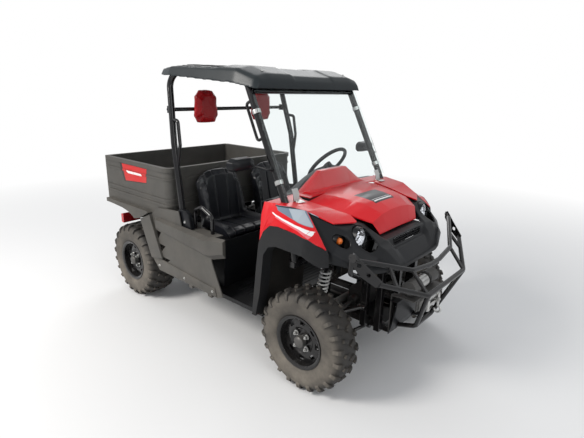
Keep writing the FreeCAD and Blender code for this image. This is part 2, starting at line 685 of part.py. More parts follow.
def front_fenders():
    """Both wings with their outer sides, joined across the cowl and its raised middle."""
    wing = skin([(x, [(cy, cz), (oy, oz)]) for x, cy, cz, oy, oz in WING], (0, PANEL_T))
    side = fender_side()
    left = fused([wing, side]).cut(pillar_hole())
    stations = []
    for x, rise in COWL:
        top = COWL_REAR_Z + rise * (BUMP_Z - COWL_REAR_Z)
        stations.append((x, bump_line(top, COWL_REAR_Z, 365, COWL_REAR_Z - 4)))
    cowl = skin(stations, (0, PANEL_T))
    cowl = cowl.cut(hinge_room(HINGE_Y, HINGE_Y + HINGE_W + 2))
    leaf = hinge_half(HINGE_Y - HINGE_W, HINGE_Y, COWL[-1][0] - 6)
    return fused([left, mirrored(left), cowl, leaf, mirrored(leaf)])


# Hood panel stations: x, crease y, crease z, shoulder z, middle z
HOOD = [
    (front(-184), 389, 1068, 1092, 1098),
    (front(30), 346, 1038, 1078, 1085),
    (front(98), 328, 1024, 1066, 1074),
    (front(193), 264, 990, 1020, 1030),
    (front(225), 226, 924, 926, 928),
]
HOOD_T = 8.0
HOOD_HINGE = (front(-187), 1086.0)
HINGE_R = 5.0
HINGE_Y = 215.0
HINGE_W = 18.0


def hinge_half(y0, y1, x):
    """Barrel on the lid's hinge line with its leaf towards x."""
    hinge_x, hinge_z = HOOD_HINGE
    barrel = rod(vec(hinge_x, y0, hinge_z), vec(hinge_x, y1, hinge_z), HINGE_R)
    leaf = box((min(hinge_x, x), max(hinge_x, x)), (y0, y1), (hinge_z - 3, hinge_z + 3))
    return barrel.fuse(leaf)


def hinge_room(y0, y1):
    """Room for the other half's barrels, on both sides."""
    hinge_x, hinge_z = HOOD_HINGE
    room = rod(vec(hinge_x, y0, hinge_z), vec(hinge_x, y1, hinge_z), HINGE_R + 2)
    return room.fuse(mirrored(room))


def hood_lid():
    """Front lid between the creases of the wings, hinged along its rear edge."""
    stations = []
    for x, crease, crease_z, shoulder_z, middle_z in HOOD:
        half = [(crease, crease_z), (0.6 * crease, shoulder_z), (0.2 * crease, middle_z)]
        stations.append((x, half + [(-y, z) for y, z in reversed(half)]))
    start = HINGE_Y + SEAT_GAP
    leaf = hinge_half(start, start + HINGE_W, HOOD[0][0] + 6)
    lid = skin(stations, (0, HOOD_T)).cut(hinge_room(HINGE_Y - HINGE_W - 2, start))
    return fused([lid, leaf, mirrored(leaf)])


# Black nose, sections from its back to its lip: x, then (y, z) from the middle out to the chin
NOSE = [
    (front(-36), [(0, 1000), (320, 1000), (340, 1010), (450, 1040), (552, 1050), (612, 960), (600, 850)]),
    (front(96), [(0, 985), (300, 985), (335, 1004), (420, 1004), (505, 1000), (612, 905), (603, 822)]),
    (front(160), [(0, 905), (262, 905), (300, 985), (385, 996), (478, 975), (603, 880), (598, 816)]),
    (front(236), [(0, 906), (236, 906), (262, 925), (380, 925), (470, 900), (561, 836), (553, 800)]),
    (front(284), [(0, 897), (225, 897), (250, 900), (345, 895), (425, 862), (492, 806), (468, 768)]),
    (front(293), [(0, 846), (180, 846), (225, 880), (335, 888), (415, 856), (482, 802), (458, 764)]),
    (front(318), [(0, 840), (185, 840), (225, 858), (310, 866), (385, 841), (446, 792), (424, 752)]),
    (front(375), [(0, 762), (150, 762), (200, 764), (235, 768), (262, 764), (285, 752), (240, 732)]),
]
NOSE_T = 6.0
LAMP_X = front(196)
LAMP_Y = 391.0
LAMP_Z = 928.0
LAMP_R = 62.0
BLINKER_X = front(140)
BLINKER_Y = 520.0
BLINKER_Z = 929.0
BLINKER_R = 30.0
LAMP_DEPTH = 70.0
GRILLE_HALF = 170.0
GRILLE_Z = (853.0, 890.0)
GRILLE_X = (front(280), front(288))


def front_fascia():
    """Black moulded nose, open at the back and below, with lamp pockets and a grille slot."""
    outer, inner = [], []
    for n, (x, half) in enumerate(NOSE):
        line = half[::-1] + [(-y, z) for y, z in half[1:]]
        outer.append([vec(x, y, z) for y, z in line])
        shift = -10 if n == 0 else -NOSE_T
        small = [(max(y - NOSE_T, 0), z - NOSE_T) for y,
                 z in half[:-1]] + [(half[-1][0] - NOSE_T, half[-1][1] - 14)]
        line = small[::-1] + [(-y, z) for y, z in small[1:]]
        inner.append([vec(x + shift, y, z) for y, z in line])
    shell = loft(outer).cut(loft(inner))
    for side in (-1, 1):
        lamp = rod(vec(LAMP_X - 60, side * LAMP_Y, LAMP_Z), vec(LAMP_X + 90, side * LAMP_Y, LAMP_Z),
                   LAMP_R + SEAT_GAP)
        blinker = rod(vec(BLINKER_X - 60, side * BLINKER_Y, BLINKER_Z),
                      vec(BLINKER_X + 120, side * BLINKER_Y, BLINKER_Z), BLINKER_R + SEAT_GAP)
        shell = shell.cut(lamp).cut(blinker)
    shell = shell.cut(box((front(262), front(300)), (-GRILLE_HALF, GRILLE_HALF), GRILLE_Z))
    legs = []
    for side in (-1, 1):
        y = (RAIL_OUT + 5, TOWER_Y - 5) if side > 0 else (-TOWER_Y + 5, -RAIL_OUT - 5)
        legs.append(box((front(232), front(262)), y, (FRONT_DECK_Z + FRAME_TUBE + SEAT_GAP, 896)))
    return fused([shell] + legs)


def lamps(x, y, z, r, bowl):
    """Round lamp in its pocket: a bowl closed by a shallow domed lens."""
    profile = [(0, -LAMP_DEPTH), (bowl, -LAMP_DEPTH), (r, -LAMP_DEPTH * 0.45), (r, 0), (r * 0.7, 7), (0, 10)]
    outline = [vec(x + along, y, z + radius) for radius, along in profile]
    return both(face(outline).revolve(vec(x, y, z), vec(1, 0, 0), 360))


def grille():
    """Slats across the slot between the hood and the nose."""
    low, high = GRILLE_Z[0] + SEAT_GAP, GRILLE_Z[1] - SEAT_GAP
    edge = GRILLE_HALF - SEAT_GAP
    slats = [box(GRILLE_X, (-edge, edge), (z, z + 5)) for z in (low, (low + high) / 2 - 2.5, high - 5)]
    for y in (-edge, -edge / 2, 0, edge / 2, edge - 6):
        slats.append(box(GRILLE_X, (y, y + 6), (low, high)))
    return fused(slats)


# Front arch: outline of (x, z) round the outside, then back round the opening
ARCH_OPENING = [
    (front(158), 806), (front(119), 806), (front(32), 858), (front(-160), 865),
    (front(-220), 845), (front(-257), 792), (front(-289), 520), (front(-311), 430),
    (front(-323), 372),
]
ARCH = [(front(-354), 372), (front(-316), 700)] + ARCH_TOP + ARCH_OPENING
# Liner of the wheel's space, inside the arch: upper face from its foot to the nose, in (x, z)
LINER = [(front(-342), 345), (front(-342), 430), (front(-318), 690), (front(-300), 806), (front(-222), 852),
         (front(-48), 850)]
LINER_T = 4.0
LINER_IN = 410.0
LINER_FOOT_IN = TOWER_Y + 6


def arch_room(depth):
    """Everything inboard of the arch's outer face, less a depth."""
    rows = [(x, y - depth) for x, y in ARCH_PLAN]
    plan = [vec(rows[0][0], FLARE_IN - 50, 0)] + [vec(x, y, 0) for x,
                                                  y in rows] + [vec(rows[-1][0], FLARE_IN - 50, 0)]
    return face(plan).extrude(vec(0, 0, 1200))


def fender_flares():
    """Grey arch mouldings of both front wheels, hollow on the wheel's side, with their legs."""
    block = side_plate(ARCH, (FLARE_IN, FLARE_OUT)).common(arch_room(0))
    outline = face([vec(x, FLARE_IN - 1, z) for x, z in ARCH])
    pocket = outline.makeOffset2D(-PANEL_T).extrude(vec(0, FLARE_OUT - FLARE_IN,
                                                        0)).common(arch_room(PANEL_T))
    opening = pocket.copy()
    opening.translate(vec(0, 0, -PANEL_T - 2))
    middle = box((front(-262), front(230)), (FLARE_IN - 1, FLARE_OUT - PANEL_T), (700, 860))
    return both(block.cut(pocket).cut(opening.common(middle)))


def arch_liners():
    """Black liners behind and over the front wheels, seated inside the arch mouldings."""
    under = [(x + LINER_T, z - LINER_T) for x, z in LINER[1:-1]]
    ends = [(LINER[-1][0], LINER[-1][1] - LINER_T)], [(LINER[0][0] + LINER_T, LINER[0][1])]
    outline = LINER + ends[0] + under[::-1] + ends[1]
    over = side_plate(outline, (LINER_IN, FLARE_IN - SEAT_GAP))
    foot = LINER[:3] + [(x + LINER_T, z) for x, z in LINER[2::-1]]
    wall = side_plate(foot, (LINER_FOOT_IN, LINER_IN + 1))
    return both(over.fuse(wall).removeSplitter().cut(pillar_hole()))


# Cab
DASH_REAR_X = front(-430)
DASH_HALF = 545.0
FLOOR_FRONT_X = front(-385)
FLOOR_REAR_X = rear(720)
SEAT_FRONT_X = rear(1030)
BOX_REAR_X = rear(700)


def bump_line(middle_z, base_z, end_y, end_z):
    """Across the cowl and dash: outer end, foot of the raised middle and its flat top."""
    half = [(end_y, end_z), (335, base_z), (BUMP_HALF, middle_z)]
    return half + [(-y, z) for y, z in reversed(half)]


def dash():
    """Dash shell behind the cowl, with its rear face, shelf and the footwell's front wall."""
    start = front(-326) - SEAT_GAP
    rear_line = bump_line(1150, 1062, DASH_HALF, 1052)
    top = skin([(start, bump_line(BUMP_Z - 2, COWL_REAR_Z, DASH_HALF, 1082)),
                (front(-350), bump_line(BUMP_Z - 4, COWL_REAR_Z, DASH_HALF, 1080)),
                (DASH_REAR_X, rear_line)], (0, PANEL_T))
    outline = [vec(DASH_REAR_X, y, z) for y, z in [(DASH_HALF, 900)] + rear_line + [(-DASH_HALF, 900)]]
    back = face(outline).extrude(vec(PANEL_T, 0, 0))
    shelf = side_plate([(DASH_REAR_X, 900), (FLOOR_FRONT_X, 940), (FLOOR_FRONT_X, 946), (DASH_REAR_X, 906)],
                       (-DASH_HALF, DASH_HALF))
    wall = box((FLOOR_FRONT_X - PANEL_T, FLOOR_FRONT_X), (-DASH_HALF, DASH_HALF), (FRAME_TOP + FLOOR_T, 942))
    room = box((front(-421), front(-379)), (-TOWER_Y - 1, TOWER_Y + 1),
               (FRAME_TOP, FRONT_DECK_Z + FRAME_TUBE + 1))
    column = rod(WHEEL_HUB, WHEEL_HUB - column_axis() * 400, COLUMN_R + SEAT_GAP)
    shell = fused([top, back, shelf, wall]).cut(room).cut(column)
    return shell


def floor_pan():
    """Ribbed floor with a low step lip on both sides."""
    pan = box((FLOOR_REAR_X, FLOOR_FRONT_X), (-FLOOR_HALF, FLOOR_HALF), (FRAME_TOP, FRAME_TOP + FLOOR_T))
    pieces = [pan]
    for side in (-1, 1):
        y = (FLOOR_HALF - 18, FLOOR_HALF) if side > 0 else (-FLOOR_HALF, -FLOOR_HALF + 18)
        pieces.append(box((SEAT_FRONT_X + 60, FLOOR_FRONT_X), y, (FRAME_TOP - 22, FRAME_TOP)))
    for n in range(9):
        x = SEAT_FRONT_X + 60 + 34 * n
        if x + 14 < FLOOR_FRONT_X - 20:
            pieces.append(box((x, x + 14), (-480, 480), (FRAME_TOP + FLOOR_T, FRAME_TOP + FLOOR_T + 4)))
    pan = fused(pieces)
    for side in (-1, 1):
        y = (RAIL_OUT - 1, TOWER_Y + 1) if side > 0 else (-TOWER_Y - 1, -RAIL_OUT + 1)
        pan = pan.cut(box((front(-421), FLOOR_FRONT_X + 1), y, (FRAME_TOP - 1, FRAME_TOP + 20)))
    return pan


def seat_box():
    """Moulded housing under both seats, open below, over the engine."""
    low = FRAME_TOP + FLOOR_T + SEAT_GAP
    outer = side_plate([(BOX_REAR_X + 24, low), (BOX_REAR_X + 24, SEAT_DECK_Z), (SEAT_FRONT_X, SEAT_DECK_Z),
                        (SEAT_FRONT_X - 20, low)], (-SEAT_BOX_HALF, SEAT_BOX_HALF))
    t = PANEL_T
    inner = side_plate([(BOX_REAR_X + 24 + t, low - 1), (BOX_REAR_X + 24 + t, SEAT_DECK_Z - t),
                        (SEAT_FRONT_X - t, SEAT_DECK_Z - t), (SEAT_FRONT_X - 20 - t, low - 1)],
                       (-SEAT_BOX_HALF + t, SEAT_BOX_HALF - t))
    return outer.cut(inner)


# Side panel outline of (x, z)
SIDE_TOP_FRONT = front(-780)
SIDE_OUTLINE = [
    (rear(214), 726), (rear(318), 424), (rear(404), 340), (front(-728), 340), (front(-670), 362),
    (front(-778), 590), (front(-778), 752), (rear(729), 752), (rear(698), 872), (rear(428), 848),
    (rear(348), 784),
]
SIDE_TOP_W = 100.0
PANEL_IN = BED_HALF + MOVE_GAP
PANEL_OUT = PANEL_IN + 8
# Long raised mould: x, depth from the panel's inner face, low z, high z
SPONSON = [(rear(398), 12, 690, 772), (rear(440), 40, 676, 776), (front(-810), 42, 606, 757),
           (front(-770), 40, 606, 768), (front(-640), 24, 650, 778)]
# Vents: rear-top x, z, front-top x, z, low x, z, ahead of the rear axle
VENTS = [((392, 668), (455, 660), (405, 588)), ((415, 566), (505, 560), (430, 486)),
         ((440, 468), (560, 462), (462, 404))]


def side_panels():
    """Side covers between the wheels, with the long raised mould, the leg and three vents."""
    panel = side_plate(SIDE_OUTLINE, (PANEL_IN, PANEL_OUT))
    for vent in VENTS:
        panel = panel.cut(side_plate([(rear(x), z) for x, z in vent], (PANEL_IN - 1, PANEL_OUT + 1)))
    sections = []
    for x, depth, z0, z1 in SPONSON:
        edge = 0.25 * (z1 - z0)
        y = PANEL_IN + depth
        sections.append([vec(x, PANEL_IN, z0), vec(x, y, z0 + edge), vec(x, y, z1 - edge / 2),
                         vec(x, PANEL_IN, z1)])
    mould = loft(sections)
    leg = loft([[vec(rear(206), PANEL_OUT - 1, 722), vec(rear(206), 690, 722), vec(rear(345), 690, 780),
                 vec(rear(345), PANEL_OUT - 1, 780)],
                [vec(rear(326), PANEL_OUT - 1, 430), vec(rear(326), 684, 430), vec(rear(470), 684, 460),
                 vec(rear(470), PANEL_OUT - 1, 460)]])
    top = box((rear(430), SIDE_TOP_FRONT), (PANEL_IN - SIDE_TOP_W, PANEL_IN), (746, 752))
    ties = []
    for x in (rear(780), rear(1000)):
        ties.append(box((x, x + 40), (SILL_Y + FRAME_TUBE + SEAT_GAP, PANEL_OUT),
                        (FRAME_TOP - 16, FRAME_TOP - 8)))
        ties.append(box((x, x + 40), (PANEL_IN, PANEL_OUT), (FRAME_TOP - 9, FRAME_TOP + 10)))
    top = top.cut(rod(REAR_LOW, REAR_FOOT, CAGE_R + PILLAR_HOLE)).cut(rod(REAR_KNEE, REAR_LOW,
                                                                          CAGE_R + PILLAR_HOLE))
    left = fused([panel, mould, leg, top] + ties)
    return both(left)


# Seats
def rounded_plate(outline, y, bevels):
    """Side plate whose long edges along Y are rounded."""
    solid = side_plate(outline, y)
    return solid.makeFillet(bevels, [e for e in solid.Edges if abs(e.Vertexes[0].Y - e.Vertexes[-1].Y) > 1])


def seat(y):
    """Bucket seat: cushion and back with raised side bolsters."""
    half = SEAT_W / 2
    low = SEAT_DECK_Z + SEAT_GAP
    cushion = rounded_plate([(rear(700), low), (SEAT_FRONT_X + 10, low), (SEAT_FRONT_X + 12, low + 55),
                             (rear(720), low + 40)], (y - half, y + half), 12)
    back = rounded_plate([(rear(680), low + 10), (rear(740), low + 30), (rear(678), 1140), (rear(652), 1150),
                          (rear(630), 1130)], (y - half + 15, y + half - 15), 12)
    pieces = [cushion, back]
    for side in (-1, 1):
        edge = y + side * (half - 32)
        rise = rounded_plate([(rear(712), low + 20), (SEAT_FRONT_X - 10, low + 30),
                              (SEAT_FRONT_X - 40, low + 84),
                              (rear(735), low + 92)], (edge - 32, edge + 32), 14)
        edge = y + side * (half - 47)
        wing = rounded_plate([(rear(690), low + 60), (rear(778), low + 80), (rear(712), 1080),
                              (rear(668), 1090)],
                             (edge - 30, edge + 30), 14)
        pieces += [rise, wing]
    return fused(pieces)


HEAD_Y = 286.0


def headrests():
    """Two head cushions clamped to the crossbar."""
    x = CROSSBAR.x + CROSSBAR_R + SEAT_GAP
    sections = []
    for step, half, low, high in ((0, 88, 1470, 1690), (12, 98, 1460, 1700), (48, 92, 1464, 1692),
                                  (62, 62, 1490, 1670)):
        sections.append([vec(x + step, HEAD_Y - 0.7 * half, low), vec(x + step, HEAD_Y + 0.7 * half, low),
                         vec(x + step, HEAD_Y + half, low + 50),
                         vec(x + step, HEAD_Y + 0.9 * half, high - 45),
                         vec(x + step, HEAD_Y + 0.5 * half, high), vec(x + step, HEAD_Y - 0.5 * half, high),
                         vec(x + step, HEAD_Y - 0.9 * half, high - 45),
                         vec(x + step, HEAD_Y - half, low + 50)])
    return both(loft(sections))


HIP_Y = 592.0
HIP_R = 14.0


def hip_rails():
    """Bent tubes beside both seats, standing on the side panels' tops."""
    foot_z = 752 + SEAT_GAP
    path = [(786, foot_z), (786, 885), (860, 922), (980, 872), (980, foot_z)]
    return both(tube([vec(rear(x), HIP_Y, z) for x, z in path], HIP_R, 45))


MIRROR_Y = 664.0
MIRROR_Z = 1286.0


def mirrors():
    """Door mirrors on stalks clamped to the pillars."""
    post = pillar_at(1262)
    shell = []
    for x, dy, dz in ((front(-508), 70, 26), (front(-496), 96, 40), (front(-452), 84, 34),
                      (front(-436), 46, 16)):
        shell.append([vec(x, MIRROR_Y + a * dy, MIRROR_Z + b * dz) for a, b in
                      ((-1, -0.5), (-0.7, -1), (0.7, -1), (1, -0.5), (1, 0.5), (0.7, 1), (-0.7, 1),
                       (-1, 0.5))])
    ball = vec(front(-470), MIRROR_Y - 60, MIRROR_Z - 8)
    start = post + vec(0, CAGE_R + SEAT_GAP, 0)
    stalk = tube([start + vec(0, 3, 0), start + vec(4, 24, 0), ball], 8, 12)
    pad = rod(start, start + vec(0, 6, 0), 15)
    return both(fused([loft(shell), stalk, pad]))


def grab_handle():
    """Bent handle on the right pillar, for the passenger."""
    high = pillar_at(1650)
    low = pillar_at(1440)
    normal = pillar_normal() * -1
    reach = CAGE_R + SEAT_GAP
    path = [high + normal * reach, high + normal * 62, low + normal * 62, low + normal * reach]
    return mirrored(tube(path, 9, 30))


# Bull bar: half paths of (ahead of the front axle, y, z), from the outside in
BAR_UPPER = [(279, 594, 895), (300, 590, 880), (460, 259, 772), (478, 60, 754)]
BAR_LOWER = [(411, 534, 762), (563, 252, 650)]
BAR_R = 14.0
# Side plates between the hoops' ends: outline and holes in (ahead of the front axle, z)
BAR_PLATE = [(272, 902), (292, 912), (350, 852), (430, 776), (424, 748), (398, 744), (328, 790), (274, 862)]
BAR_PLATE_HOLES = [(316, 853), (362, 806)]
BAR_PLATE_HOLE_R = 12.0


def bar_point(row):
    return vec(front(row[0]), row[1], row[2])


def bar_plate(side):
    """Upright plate from the upper hoop's end to the lower hoop's, with two holes."""
    start, end = BAR_UPPER[0], BAR_LOWER[0]
    lean = (end[1] - start[1]) / (end[0] - start[0])

    def at(x, z, out):
        return vec(front(x), side * (start[1] + lean * (x - start[0]) + out), z)

    plate = face([at(x, z, -3) for x, z in BAR_PLATE]).extrude(vec(0, side * 6, 0))
    for x, z in BAR_PLATE_HOLES:
        plate = plate.cut(rod(at(x, z, -30), at(x, z, 30), BAR_PLATE_HOLE_R))
    return plate


def bull_bar():
    """Two bent hoops with struts, side plates and the skid tubes below."""
    upper = tube(mirrored_path([bar_point(r) for r in BAR_UPPER]), BAR_R, 40)
    lower = tube(mirrored_path([bar_point(r) for r in BAR_LOWER]), BAR_R, 45)
    bend = BAR_LOWER[-1]
    pieces = [upper, lower]
    for side in (-1, 1):
        def at(x, y, z):
            return vec(front(x), side * y, z)
        pieces.append(rod(at(460, 259, 772), at(*bend), BAR_R - 3))
        pieces.append(rod(at(*bend), at(448, 100, 363), BAR_R))
        pieces.append(tube([at(448, 100, 363), at(430, 100, 350), at(316, 100, 317)], BAR_R, 20))
        pieces.append(box((front(310) + SEAT_GAP, front(318)), (side * 100 - 20, side * 100 + 20),
                          (FRAME_Z, FRAME_TOP)))
        pieces.append(rod(at(391, 400, 820), at(466, 432, 722), BAR_R - 3))
        pieces.append(bar_plate(side))
        pieces.append(rod(at(290, 594, 893), at(290, 606, 893), 24))
        pieces.append(tube([at(279, 594, 895), at(262, 575, 790), at(240, 450, 722), at(240, 240, 722)],
                           BAR_R, 40))
        tongue = (TOWER_Y + SEAT_GAP, TOWER_Y + 16) if side > 0 else (-TOWER_Y - 16, -TOWER_Y - SEAT_GAP)
        pieces.append(box((front(220), front(265)), tongue, (705, 738)))
    cross = rod(vec(front(448), -100, 363), vec(front(448), 100, 363), BAR_R)
    return fused(pieces + [cross])


def winch():
    """Winch in front of the nose: motor, drum and gear ends on a tray carried by the frame."""
    x = front(400)
    z = 600.0
    pieces = [rod(vec(x, -55, z), vec(x, 55, z), 30)]
    for y0, y1, r in ((55, 70, 48), (70, 175, 42), (-70, -55, 48), (-150, -70, 44)):
        pieces.append(rod(vec(x, y0, z), vec(x, y1, z), r))
    pieces.append(box((x - 60, x + 60), (-185, 185), (z - 58, z - 50)))
    for y in (-62.5, 62.5):
        pieces.append(box((x - 14, x + 14), (y - 7, y + 7), (z - 51, z - 30)))
    pieces.append(box((x + 52, x + 60), (-150, 150), (z - 130, z - 50)))
    for side in (-1, 1):
        y = (RAIL_Y + 2, RAIL_OUT - 2) if side > 0 else (-RAIL_OUT + 2, -RAIL_Y - 2)
        pieces.append(box((front(310 + SEAT_GAP), x - 52), y, (z - 58, z - 50)))
        pieces.append(box((front(310 + SEAT_GAP), front(318)), y, (FRAME_Z, z - 50)))
    return fused(pieces)


def fairlead():
    """Roller fairlead on the tray's front, with the cable's hook below its rollers."""
    x = front(460 + SEAT_GAP)
    z = 500.0
    pieces = [box((x, x + 6), (-120, 120), (z - 32, z + 32)).cut(box((x - 1, x + 7), (-70, 70),
                                                                     (z - 16, z + 16)))]
    for dz in (-22, 22):
        pieces.append(rod(vec(x + 20, -84, z + dz), vec(x + 20, 84, z + dz), 11))
    for y in (-92, 84):
        pieces.append(box((x, x + 36), (y, y + 8), (z - 36, z + 36)))
    for y in (-72, 72):
        pieces.append(rod(vec(x + 36, y, z - 34), vec(x + 36, y, z + 34), 10))
    return fused(pieces)


# Nose of the skid plate: outer face from its foot to its top flange, ahead of the front axle, z
SKID_NOSE = [(319.5, 291), (336, 340), (362, 470), (366, 520), (319.5, 520)]
SKID_NOSE_HALF = 205.0
SKID_T = 5.0


def belly_plate():
    """Skid plate under the front axle, turned up before the frame and back over its own top."""
    low = FRAME_Z - SKID_T - SEAT_GAP
    flat = side_plate([(front(-418), low + SKID_T), (front(-400), low), (front(320), low),
                       (front(320), low + SKID_T)],
                      (4 - RAIL_Y, RAIL_Y - 4))
    outer = [(front(x), z) for x, z in SKID_NOSE]
    inner = [(front(319.5), 520 - SKID_T), (front(366 - SKID_T), 520 - SKID_T), (front(362 - SKID_T), 470),
             (front(336 - SKID_T), 341), (front(319.5), 305)]
    nose = side_plate(outer + inner, (-SKID_NOSE_HALF, SKID_NOSE_HALF))
    plate = fused([flat, nose])
    for side in (-1, 1):
        plate = plate.cut(rod(vec(front(312), side * 100, 315), vec(front(440), side * 100, 354), BAR_R + 3))
    return plate


# Running gear
def engine():
    """Engine and gearbox as one block at its place ahead of the rear axle."""
    return box((rear(200), rear(640)), (-180, 180), (FRAME_TOP + SEAT_GAP, 630))


def driveline():
    """Both axle drives with their half shafts, joined by the propeller shafts and the transfer case."""
    parts = []
    reach = RAIL_Y - SEAT_GAP
    for x, wheel_y in ((FRONT_AXLE_X, FRONT_WHEEL_Y), (REAR_AXLE_X, REAR_WHEEL_Y)):
        parts.append(box((x - DIFF_HALF_L, x + DIFF_HALF_L), (-DIFF_HALF_W, DIFF_HALF_W),
                         (DIFF_Z - DIFF_HALF_H, DIFF_Z + DIFF_HALF_H)))
        parts.append(box((x - 30, x + 30), (-reach, reach),
                         (DIFF_Z - DIFF_HALF_H, DIFF_Z - DIFF_HALF_H + 10)))
        parts.append(box((x - DIFF_HALF_L, x + DIFF_HALF_L), (-30, 30), (PROP_Z - PROP_R - 2, DIFF_Z)))
        for side in (-1, 1):
            inner = vec(x, side * (DIFF_HALF_W - 1), DIFF_Z)
            outer = vec(x, side * joint_y(wheel_y), AXLE_Z)
            parts.append(rod(inner, outer, SHAFT_R))
            parts.append(rod(inner, inner + unit(outer - inner) * 50, 30))
            parts.append(Part.makeSphere(JOINT_BALL_R, outer))
    parts.append(box(TRANSFER_X, (-60, 60), (PROP_Z - PROP_R - 2, FRAME_TOP)))
    parts.append(rod(vec(REAR_AXLE_X, 0, PROP_Z), vec(FRONT_AXLE_X, 0, PROP_Z), PROP_R))
    return fused(parts)


def exhaust():
    """Silencer across the back, under the bed."""
    half = RAIL_OUT - 12
    can = rod(vec(rear(-150), -half, 560), vec(rear(-150), half, 560), 58)
    tail = tube([vec(rear(-150), 130, 560), vec(rear(-215), 150, 520), vec(rear(-300), 150, 500)], 16, 30)
    ears = box((rear(-165), rear(-135)), (-RAIL_OUT + SEAT_GAP, RAIL_OUT - SEAT_GAP), (545, 575))
    return fused([can, tail, ears])


def tail_lamps():
    """Rear lamp pods on brackets under the bed's corners."""
    pod = rounded_plate([(rear(-262), 560), (rear(-300), 566), (rear(-300), 640), (rear(-262), 650)],
                        (425, 585), 6)
    stay = box((rear(-262), rear(-250)), (REAR_DECK_Y + FRAME_TUBE + SEAT_GAP, 500), (600, 612))
    arm = box((rear(-270), rear(-230)), (REAR_DECK_Y + FRAME_TUBE + SEAT_GAP, REAR_DECK_Y + FRAME_TUBE + 8),
              (590, 622))
    return both(fused([pod, stay, arm]))


# Steering
COLUMN_TILT = 40.0
WHEEL_HUB = vec(front(-598), 339, 1156)
WHEEL_R = 172.0
COLUMN_R = 20.0
COLUMN_L = 215.0
HUB_H = 34.0
# Pedals: y, pad half width, pad half height
PEDALS = [(250, 24, 46), (360, 40, 30)]
PEDAL_Z = 500.0
LEVER = vec(DASH_REAR_X, 120, 980)


def column_axis():
    tilt = math.radians(COLUMN_TILT)
    return vec(-math.cos(tilt), 0, math.sin(tilt))


def driver_controls():
    """Steering column, gear lever and the two pedals."""
    along = column_axis() * -1
    start = WHEEL_HUB + along * (HUB_H + SEAT_GAP)
    column = rod(start, start + along * COLUMN_L, COLUMN_R)
    pieces = [column]
    wall = FLOOR_FRONT_X - PANEL_T - SEAT_GAP
    for y, half_w, half_h in PEDALS:
        pad = side_plate([(wall - 70, PEDAL_Z - half_h), (wall - 62, PEDAL_Z - half_h),
                          (wall - 42, PEDAL_Z + half_h), (wall - 50, PEDAL_Z + half_h)],
                         (y - half_w, y + half_w))
        arm = tube([vec(wall - 54, y, PEDAL_Z), vec(wall - 30, y, PEDAL_Z + 150),
                    vec(wall, y, PEDAL_Z + 150)], 7, 15)
        pieces.append(pad.fuse(arm))
    knob = LEVER - vec(96, 0, -78)
    start = LEVER - vec(SEAT_GAP, 0, 0)
    elbow = start - vec(40, 0, 0)
    up = unit(knob - elbow)
    pieces.append(fused([tube([start, elbow, knob], 7, 20), rod(knob - up * 24, knob + up * 22, 17),
                         rod(start, start - vec(8, 0, 0), 24)]))
    return group(pieces)


def steering_wheel():
    """Three-spoke wheel on its hub, square to the column."""
    ring = Part.makeTorus(WHEEL_R, 14)
    hub = Part.makeCylinder(HUB_H, HUB_H + 6, vec(0, 0, -HUB_H), vec(0, 0, 1))
    pieces = [ring, hub]
    for angle in (105, 180, 255):
        spoke = box((20, WHEEL_R - 4), (-14, 14), (-12, -4))
        spoke.rotate(vec(0, 0, 0), vec(0, 0, 1), angle)
        pieces.append(spoke)
    solid = fused(pieces)
    turn = FreeCAD.Rotation(vec(0, 1, 0), 90 - COLUMN_TILT).inverted()
    solid.Placement = FreeCAD.Placement(WHEEL_HUB, turn)
    return solid


def rack_housing():
    x = front(-STEER_ARM_L)
    body = rod(vec(x, -RACK_HOUSE_HALF, RACK_Z), vec(x, RACK_HOUSE_HALF, RACK_Z), RACK_HOUSE_R)
    bore = rod(vec(x, -RACK_HALF, RACK_Z), vec(x, RACK_HALF, RACK_Z), RACK_R + RUNNING_GAP)
    feet = []
    for side in (-1, 1):
        y = side * (RAIL_Y + RACK_HOUSE_HALF) / 2
        feet.append(box((x - 30, x + 30), (y - 12, y + 12), (FRAME_TOP + SEAT_GAP, RACK_Z - 8)))
    return fused([body] + feet).cut(bore)


def steering_rack():
    """Rack bar with both tie rods; each rod's eye rests over its steering arm."""
    x = front(-STEER_ARM_L)
    eye_y = joint_y(FRONT_WHEEL_Y)
    pieces = [rod(vec(x, -RACK_HALF, RACK_Z), vec(x, RACK_HALF, RACK_Z), RACK_R)]
    for side in (-1, 1):
        pieces.append(rod(vec(x, side * (RACK_HALF - 2), RACK_Z), vec(x, side * (eye_y - 4), RACK_Z),
                          TIE_ROD_R))
        pieces.append(Part.makeCylinder(TIE_EYE_R, 2 * TIE_EYE_HALF,
                                        vec(x, side * eye_y, RACK_Z - TIE_EYE_HALF), vec(0, 0, 1)))
    return fused(pieces)


# Bed
BED_REAR_X = rear(-REAR_REACH) + GATE_T + SEAT_GAP
BED_FRONT_X = BED_REAR_X + BED_LENGTH
BED_CORNER_R = 60.0
BED_TOE_R = 32.0
# Bands round the walls: how far they stand out, low z, high z
BED_BANDS = [(6, 866, 884), (6, 908, 926), (6, 1062, 1076), (9, BED_TOP_Z - 32, BED_TOP_Z)]


def bed_block(grow, z, back=0):
    """Block as wide and long as the tub, grown on three sides, with round front corners."""
    block = box((BED_REAR_X - back, BED_FRONT_X + grow), (-BED_HALF - grow, BED_HALF + grow), z)
    tall = [e for e in block.Edges if abs(e.Vertexes[0].Z - e.Vertexes[-1].Z) > 10]
    return block.makeFillet(BED_CORNER_R + grow,
                            [e for e in tall if e.Vertexes[0].X > BED_FRONT_X + grow - 1])


